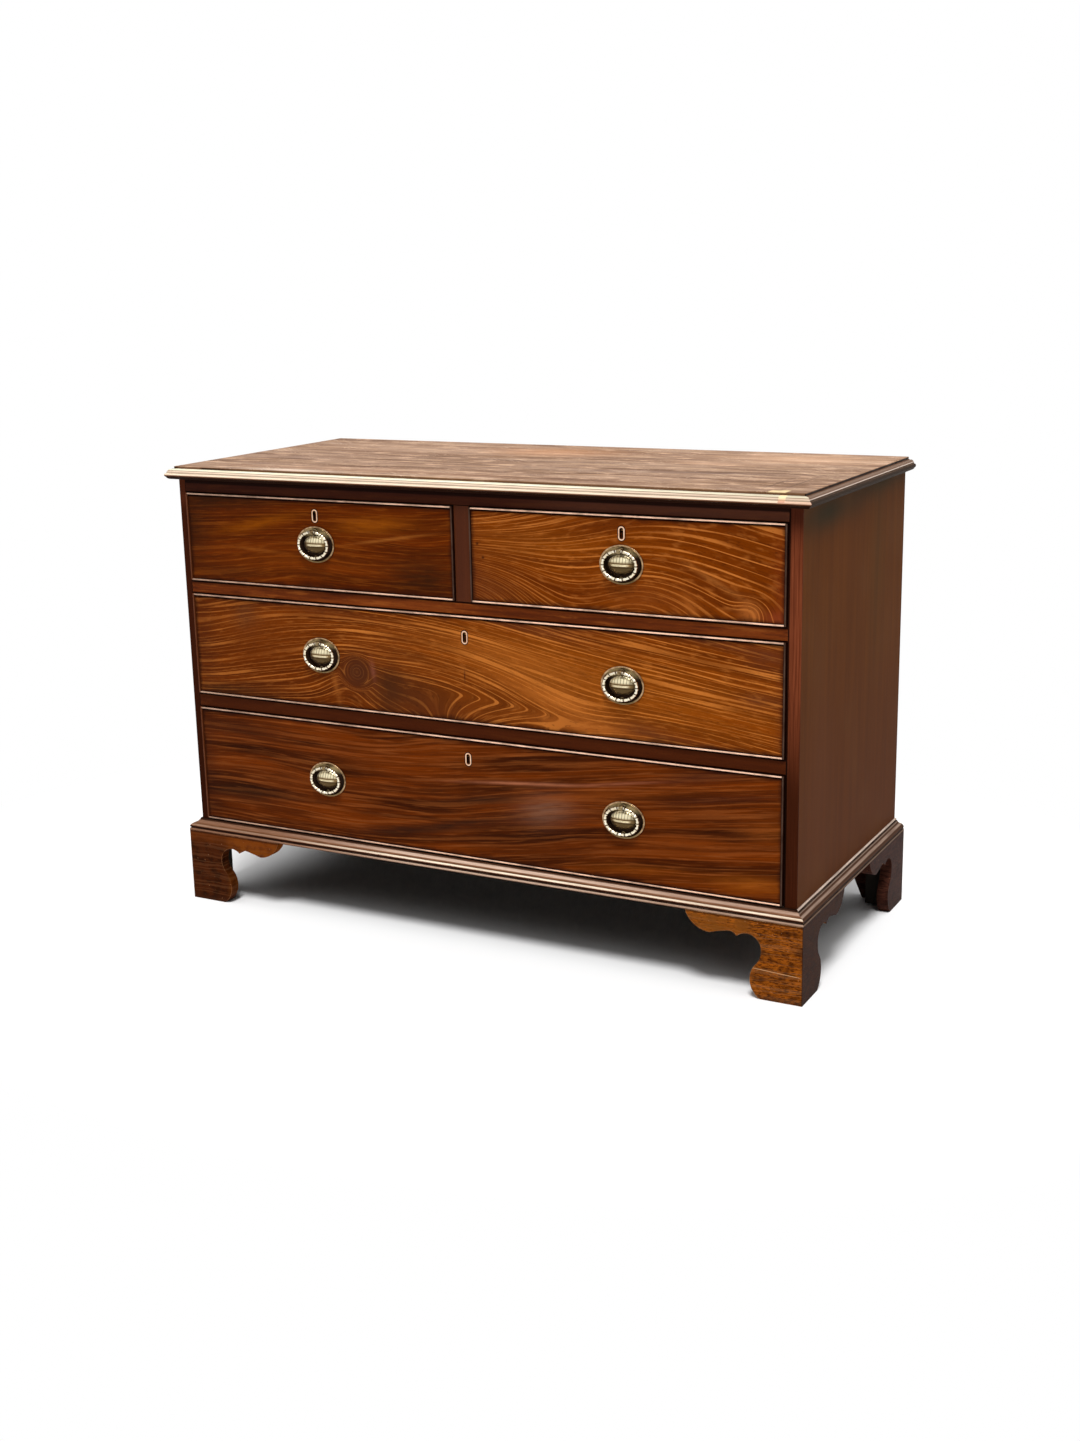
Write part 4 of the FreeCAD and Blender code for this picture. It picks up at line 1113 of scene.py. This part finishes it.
# %% Brass and steel
def old_metal(name, bright, tarnish, hollow, roughness, painted=None, dirty=1):
    """painted(across, height, colour) adds tarnish, painted highlights and painted shade in
    places.
    """
    finish = Finish(name, bright, 0.5)
    finish.shader.inputs["Metallic"].default_value = 1
    across, depth, height = finish.place
    blotch = cloud(across / 7, depth / 7, height / 7, 3, 0.6)
    blotch = between(blotch, 0.35, 0.65)
    finish.stain(blotch, tarnish)
    if painted:
        finish.colour = painted(across, height, finish.colour)
    # Dirt and patina in the hollows, with painted shade from the same mask.
    dirt = use(corner_dirt_and_shade, finish.tree)["Dirt"] * dirty
    finish.stain(dirt, hollow)
    rough = dirt * 0.25 + (blotch * 0.12 + roughness)
    finish.end(rough, 0.04, cloud(across / 0.9, depth / 0.9, height / 0.9))
    return finish


def plate_tarnish_and_light(across, height, colour):
    place = use(handle_ruler, Across=across, Height=height)
    side, up = place["Side"], place["Up"]
    in_rim = between(squashed_distance(side, up, *PLATE_HALF), 0.905, 0.93, 1, 0)
    # Painted shade over the lower part of the plate.
    colour = stain(between(up, -14, -26, 0, 0.8), colour, (104, 84, 50))
    # The field is dark tarnish with painted shade, painted lighter at the top as lit from above.
    field = stain(between(up, 10, 24), (34, 22, 15), (160, 140, 100))
    colour = stain(in_rim, colour, field)
    on_boss = between(squashed_distance(side, up, *BOSS_HALF), 0.97, 1.02, 1, 0)
    flutes = between(reckon("PINGPONG", side, 2.6), 0.2, 1.2, 0.6, 0)
    # The boss: a painted highlight on its upper half and across its middle; painted shade on its
    # lower half, its sides, its flutes and between its reeds.
    boss = stain(between(up, -5, 2), (88, 70, 44), (140, 112, 72))
    for mask, tone in (
        (between(up, 2.5, 6.5, 0, 0.92), (246, 234, 196)),
        (between(side, 10, 20, 0, 0.6), (92, 74, 48)),
        (flutes * between(up, 2.5, 4.5), (84, 64, 42)),
        (band(up, 1.9, 3.1, 0.3) * 0.8, (58, 42, 28)),
        (band(up, -1.6, 1.3, 0.4) * band(side, -15, 13, 4) * 0.85, (244, 230, 192)),
        (band(up, -4.4, -2.8, 0.5) * 0.7, (46, 34, 24)),
    ):
        boss = stain(mask, boss, tone)
    return stain(on_boss, colour, boss)


def ring_tarnish_and_shade(across, height, colour):
    place = use(handle_ruler, Across=across, Height=height)
    turn = reckon("ARCTAN2", place["Up"] / RING_HALF[1], place["Side"] / RING_HALF[0])
    from_binding = reckon("PINGPONG", turn * (BINDINGS / math.tau), 0.5)
    # Painted shade over the upper part of the ring, near the post.
    colour = stain(between(place["Up"], 4, 20, 0, 0.2), colour, (146, 126, 96))
    return stain(between(from_binding, 0.05, 0.13, 1, 0), colour, (84, 64, 46))


def inlay_outline_and_shade(across, height, colour):
    """Only the raised outline stays brass; painted shade makes inside and outside it black."""
    from_middle = abs(across + DRAWER_SHIFT)
    side = reckon("GREATER_THAN", from_middle, 100) * -HANDLE_X + from_middle
    row_height = nearest_row(height, 327.8, (430, 207.5), (630, 186.3))
    end = most(abs(height - row_height) - 5.5, 0)
    outline = band(squashed_distance(side, end, 1, 1), 3.5, 5.5, 0.4)
    return stain(outline, (30, 14, 8), colour)


metals = {
    "brass_plate": ((196, 164, 124), (136, 104, 74), (30, 20, 13), 0.28, plate_tarnish_and_light),
    "brass_ring": ((253, 246, 224), (240, 226, 196), (64, 46, 32), 0.2, ring_tarnish_and_shade, 0.5),
    "brass_post": ((150, 132, 98), (108, 86, 58), (60, 42, 28), 0.3),
    "brass_inlay": ((252, 212, 180), (232, 182, 148), (120, 92, 66), 0.3, inlay_outline_and_shade, 0.4),
    "brass_lock": ((190, 152, 92), (140, 104, 60), (60, 42, 26), 0.32),
    "lock_steel": ((132, 128, 122), (96, 84, 72), (54, 42, 34), 0.4),
}
for name, recipe in metals.items():
    metals[name] = old_metal(name, *recipe)
for name, ending in (
    ("brass_inlay", "_escutcheon"), ("brass_lock", "_lock_case"), ("lock_steel", "_lock_bolt"),
):
    dress(metals[name], *[board for board in chest if board.endswith(ending)])
print("metals are mixed:", len(metals))

# %% [markdown]
# ## Handles
# Each handle is a cast oval plate with a raised rim and a domed boss, a post with an eye, a
# button for the ring to land on, and two nuts inside the drawer. One handle is modelled at the
# middle of the chest and then copied to its six places. A lathe can't turn an oval, so each part
# starts from a round primitive that is squeezed to the oval first.

# %% Modelling helpers
def mode(name):
    bpy.ops.object.mode_set(mode=name)


def take(*pieces):
    if bpy.context.object and bpy.context.object.mode != "OBJECT":
        mode("OBJECT")
    bpy.ops.object.select_all(action="DESELECT")
    for piece in pieces:
        piece.select_set(True)
    if pieces:
        bpy.context.view_layer.objects.active = pieces[0]


def settle(piece):
    """Put the object's turn, scale and place into its mesh."""
    take(piece)
    bpy.ops.object.transform_apply(location=True, rotation=True, scale=True)


def pick(piece, test=lambda place: True, faces=False):
    """Go to edit mode with the points whose place, or the faces whose normal, pass a test."""
    bpy.context.view_layer.objects.active = piece
    mode("EDIT")
    bpy.ops.mesh.select_all(action="DESELECT")
    bpy.ops.mesh.select_mode(type="FACE" if faces else "VERT")
    mode("OBJECT")
    count = 0
    for part in piece.data.polygons if faces else piece.data.vertices:
        part.select = bool(test(part.normal if faces else part.co))
        count += part.select
    mode("EDIT")
    return count


def stretch(*scale, centre=(0, 0, 0)):
    bpy.ops.transform.resize(value=scale, center_override=centre)


def smooth(piece, degrees=35):
    take(piece)
    bpy.ops.object.shade_smooth_by_angle(angle=math.radians(degrees))


def soften(piece, width, segments=2, degrees=40):
    """A Bevel modifier, applied."""
    take(piece)
    softening = piece.modifiers.new("soften", "BEVEL")
    softening.width = width
    softening.segments = segments
    softening.limit_method = "ANGLE"
    softening.angle_limit = math.radians(degrees)
    bpy.ops.object.modifier_apply(modifier="soften")


def rename(piece, name):
    piece.name = name
    piece.data.name = name


def join(pieces, name):
    """One mesh from several shells of one casting."""
    take(*pieces)
    bpy.ops.object.join()
    rename(pieces[0], name)
    return pieces[0]


ALONG_X = (0, math.pi / 2, 0)
ALONG_Y = (math.pi / 2, 0, 0)


def rod(radius, depth, place, turn=ALONG_Y, vertices=32):
    take()
    bpy.ops.mesh.primitive_cylinder_add(
        vertices=vertices, radius=radius, depth=depth, end_fill_type="NGON",
        location=place, rotation=turn,
    )
    piece = bpy.context.object
    settle(piece)
    return piece


FACE_Y = -0.2485
PATH_Y = -0.258
RING_X, RING_Z = (half / 1000 for half in RING_HALF)
print("the ring hangs", round((FACE_Y - PATH_Y) * 1000, 1), "mm in front of the drawer")

# %% [markdown]
# ## The back plate
# The plate is a squeezed cylinder. Its front is inset for the rim, sunk for the field, and its
# rim is rounded with a bevel.

# %% Back plate
plate = rod(1, 0.0022, (0, FACE_Y - 0.0011, 0), vertices=96)
pick(plate)
stretch(PLATE_HALF[0] / 1000, 1, PLATE_HALF[1] / 1000, centre=(0, FACE_Y, 0))
pick(plate, lambda normal: normal.y < -0.9, faces=True)
bpy.ops.mesh.inset(thickness=0.0027, depth=0)
bpy.ops.mesh.inset(thickness=0.0005, depth=-0.001)
soften(plate, 0.0006, 3, 30)
print("plate has", len(plate.data.polygons), "faces")

# %% [markdown]
# ## The boss
# The dome reads like half an egg lying on its side, fluted above, with two thin reeds across
# the middle. A UV sphere with its poles to the left and right has rows that run from side to
# side, which become the reeds, and columns that stand upright, which become the flutes.

# %% Boss
take()
bpy.ops.mesh.primitive_uv_sphere_add(
    segments=96, ring_count=48, radius=1, location=(0, 0, 0), rotation=ALONG_X
)
boss = bpy.context.object
settle(boss)
pick(boss)
bpy.ops.mesh.bisect(
    plane_co=(0, 0, 0), plane_no=(0, 1, 0), use_fill=True, clear_outer=True, clear_inner=False
)


def egg_row(place):
    """Degrees up from the middle row."""
    return math.degrees(math.atan2(place.z, -place.y))


def on_reed(place):
    near_middle = place.y < -0.05 and abs(place.x) < 0.8
    return near_middle and abs(abs(egg_row(place)) - 3.75) < 1


def on_flute(place):
    column = round(math.degrees(math.acos(max(-1, min(1, place.x)))) / 3.75)
    return 18 < egg_row(place) < 75 and abs(place.x) < 0.93 and column % 3 == 0


reed_points = pick(boss, on_reed)
stretch(1, 1.07, 1)
flute_points = pick(boss, on_flute)
stretch(1, 0.93, 0.96)
pick(boss)
stretch(BOSS_HALF[0] / 1000, 0.0086, BOSS_HALF[1] / 1000)
bpy.ops.transform.translate(value=(0, FACE_Y - 0.0009, 0))
smooth(boss, 50)
smooth(plate)
plate = join([plate, boss], "handle_plate")
print("boss has", reed_points, "reed points and", flute_points, "flute points")

# %% [markdown]
# ## Post, button and nuts
# The post ends in an eye that the ring passes through. The eye is a short cylinder lying on its
# side with a hole bridged through it. A collar covers the hole where the post goes through the
# plate. The button is a small pin with a rounded head.

# %% Post with its eye
def pin(radius, front, back, z, *edge, vertices=32):
    """A rod from front to back with softened, smooth ends."""
    piece = rod(radius, back - front, (0, (front + back) / 2, z), vertices=vertices)
    soften(piece, *edge)
    smooth(piece)
    return piece


eye = rod(0.0042, 0.007, (0, PATH_Y, RING_Z), ALONG_X, 40)
pick(eye, lambda normal: abs(normal.x) > 0.9, faces=True)
bpy.ops.mesh.inset(thickness=0.0014, use_individual=True)
bpy.ops.mesh.delete(type="FACE")
pick(eye, lambda place: math.hypot(place.y - PATH_Y, place.z - RING_Z) < 0.0033)
bpy.ops.mesh.select_mode(type="EDGE")
bpy.ops.mesh.bridge_edge_loops()
soften(eye, 0.0005)
smooth(eye)
TAIL_END = -0.2225
shank = pin(0.0023, PATH_Y + 0.0034, TAIL_END, RING_Z, 0.0003, 1)
collar = pin(0.0044, -0.2513, -0.2497, RING_Z, 0.0006, 3)
post = join([eye, shank, collar], "ring_post")
print("post has", len(post.data.polygons), "faces")

# %% Button and nuts
button_pin = pin(0.0023, -0.2553, TAIL_END, -RING_Z, 0.0012, 4)
button_collar = pin(0.0036, -0.2511, -0.2497, -RING_Z, 0.0005, 2)
button = join([button_pin, button_collar], "striking_button")
nuts = [pin(0.0062, -0.22845, -0.22505, z, 0.0007, vertices=6) for z in (RING_Z, -RING_Z)]
nuts = join(nuts, "tail_nuts")
print("button has", len(button.data.polygons), "faces")

# %% [markdown]
# ## The ring
# The ring is an oval bar, cast to look like a bundle bound with ribbon at fourteen places. A
# torus squeezed to an oval would have a flattened bar, so a round curve is squeezed first and
# given its thickness afterwards. The bindings are loops of points drawn in.

# %% Ring
take()
bpy.ops.curve.primitive_bezier_circle_add(radius=1, location=(0, 0, 0), rotation=(0, 0, 0))
ring = bpy.context.object
ring.data.resolution_u = 42
ring.data.bevel_depth = 0.0026
ring.data.bevel_resolution = 5
mode("EDIT")
bpy.ops.curve.select_all(action="SELECT")
stretch(RING_X, RING_Z, 1)
take(ring)
bpy.ops.object.convert(target="MESH")
ring = bpy.context.object
ring.rotation_euler = ALONG_Y
ring.location = (0, PATH_Y, 0)
settle(ring)


def from_binding(place):
    """How far a point is from the nearest binding, in shares of the gap between two."""
    turn = math.atan2(place.z / RING_Z, place.x / RING_X) / math.tau
    share = (turn * BINDINGS + 0.5) % 1
    return min(share, 1 - share)


drawn_in = pick(ring, lambda place: from_binding(place) < 0.06)
bpy.ops.transform.shrink_fatten(value=-0.00075)
pick(ring, lambda place: 0.06 <= from_binding(place) < 0.15)
bpy.ops.transform.shrink_fatten(value=-0.0003)
take(ring)
mode("EDIT")
bpy.ops.mesh.select_all(action="SELECT")
bpy.ops.mesh.remove_doubles(threshold=0.00001)
bpy.ops.mesh.normals_make_consistent(inside=False)
smooth(ring, 60)
rename(ring, "handle_ring")
print("ring has", len(ring.data.polygons), "faces,", drawn_in, "points drawn in")

# %% [markdown]
# ## Six handles
# Each copy gets its own mesh, moved to its place inside the mesh, so that every object still
# stands at the chest's own origin and the brass pattern differs from handle to handle. Plate,
# post, button and nuts ride on the drawer. The ring rides on its own body, which swings.

# %% Hang the handles
LEFT, RIGHT = ((side * HANDLE_X - DRAWER_SHIFT) / 1000 for side in (-1, 1))
HANDLES = {
    "upper_left_ring": ("upper_left", LEFT, 0.6732),
    "upper_right_ring": ("upper_right", RIGHT, 0.6732),
    "middle_ring_left": ("middle", LEFT, 0.4813),
    "middle_ring_right": ("middle", RIGHT, 0.4813),
    "bottom_ring_left": ("bottom", LEFT, 0.2594),
    "bottom_ring_right": ("bottom", RIGHT, 0.2594),
}
PARTS = (
    (plate, "handle_plate", "brass_plate"),
    (post, "ring_post", "brass_post"),
    (button, "striking_button", "brass_post"),
    (nuts, "tail_nuts", "brass_lock"),
    (ring, "pull_ring", "brass_ring"),
)
for ring_name, (drawer, x, z) in HANDLES.items():
    for pattern, part_name, metal in PARTS:
        take(pattern)
        bpy.ops.object.duplicate(linked=False)
        piece = bpy.context.object
        rename(piece, ring_name.replace("_ring", "") + "_" + part_name)
        piece.location = (x, 0, z)
        settle(piece)
        piece.data.materials.clear()
        piece.data.materials.append(metals[metal].material)
        swings = pattern == ring
        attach(piece, ring_name if swings else drawer + "_drawer")
        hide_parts(ring_name if swings else drawer + "_handle_plates")
for pattern in (plate, post, button, nuts, ring):
    bpy.data.objects.remove(pattern)
print("handles hung:", len(HANDLES))

# %% [markdown]
# ## Floor and light
# The chest stands on a pale, plain floor in a white room. The floor is one large sheet. It keeps
# the soft shadow under the chest. The room is a plain white world: bright to the camera and in
# reflections, and dimmer as a lamp, so that the large soft lamp over the front does the shaping.

# %% Floor
def seen_directly(tree):
    """1 for a ray from the camera, straight, reflected or let through."""
    camera_ray, glossy_ray, through_ray = (
        place_node(tree, "LightPath", {}, "Is " + kind + " Ray")
        for kind in ("Camera", "Glossy", "Transmission")
    )
    return most(most(camera_ray, glossy_ray), through_ray)


take()
bpy.ops.mesh.primitive_plane_add(size=40, location=(0, 0, cad_low.z))
floor = bpy.context.object
floor.name = "studio_floor"
settle(floor)
floor_paint = Finish("floor_paint", (0.94, 0.94, 0.94, 1), 0)
floor_paint.shader.inputs["Roughness"].default_value = 0.9
across, depth = floor_paint.place[:2]
mottle = cloud(across / 700, depth / 700)
floor_paint.stain(mottle, (0.96, 0.96, 0.96, 1))
connect(floor_paint.colour, floor_paint.shader.inputs["Base Color"])
glow = place_node(floor_paint.tree, "Emission", {"Strength": 1})
far_across = across / 1350
far_depth = depth / 1050
far_off = between(far_across * far_across + far_depth * far_depth, 0.45, 1)
how_much = far_off * seen_directly(floor_paint.tree)
near = Reading(floor_paint.shader.outputs[0])
mixed = place_node(floor_paint.tree, "MixShader", {0: how_much, 1: near, 2: glow})
connect(mixed, floor_paint.tree.nodes["Material Output"].inputs["Surface"])
floor.data.materials.append(floor_paint.material)
print("floor lies at", round(cad_low.z, 4), "m")

# %% [markdown]
# ## Room and lamp
# The light comes mostly from above: the ceiling of the room is bright and its walls are dim, so
# the space under the chest stays dark. One broad lamp, far away over the front, shapes the
# mouldings and throws the shadow of the top on the rail below it. As a background and in
# reflections the room is plain white.

# %% Room and lamp
bpy.context.scene.view_settings.view_transform = "Standard"
room = bpy.data.worlds.new("white_room")
room.use_nodes = True
bpy.context.scene.world = room
background = room.node_tree.nodes["Background"]
background.inputs["Color"].default_value = (1, 1, 1, 1)
heading = place_node(room.node_tree, "TexCoord", {}, "Generated")
upward = place_node(room.node_tree, "SeparateXYZ", {0: heading}, 2)
CEILING = 1.3
WALLS = 0.04
light = between(upward, 0.45, 0.9, WALLS, CEILING)
connect(most(light, seen_directly(room.node_tree)), background.inputs["Strength"])

lamp_data = bpy.data.lights.new("broad_front_lamp", "SUN")
lamp_data.energy = 2.3
lamp_data.angle = math.radians(16)
lamp = bpy.data.objects.new("broad_front_lamp", lamp_data)
bpy.context.scene.collection.objects.link(lamp)
lamp.location = (1, -3, 4)
lamp.rotation_euler = (math.radians(27), 0, math.radians(22))
print("ceiling", CEILING, "walls", WALLS, "lamp", lamp_data.energy)
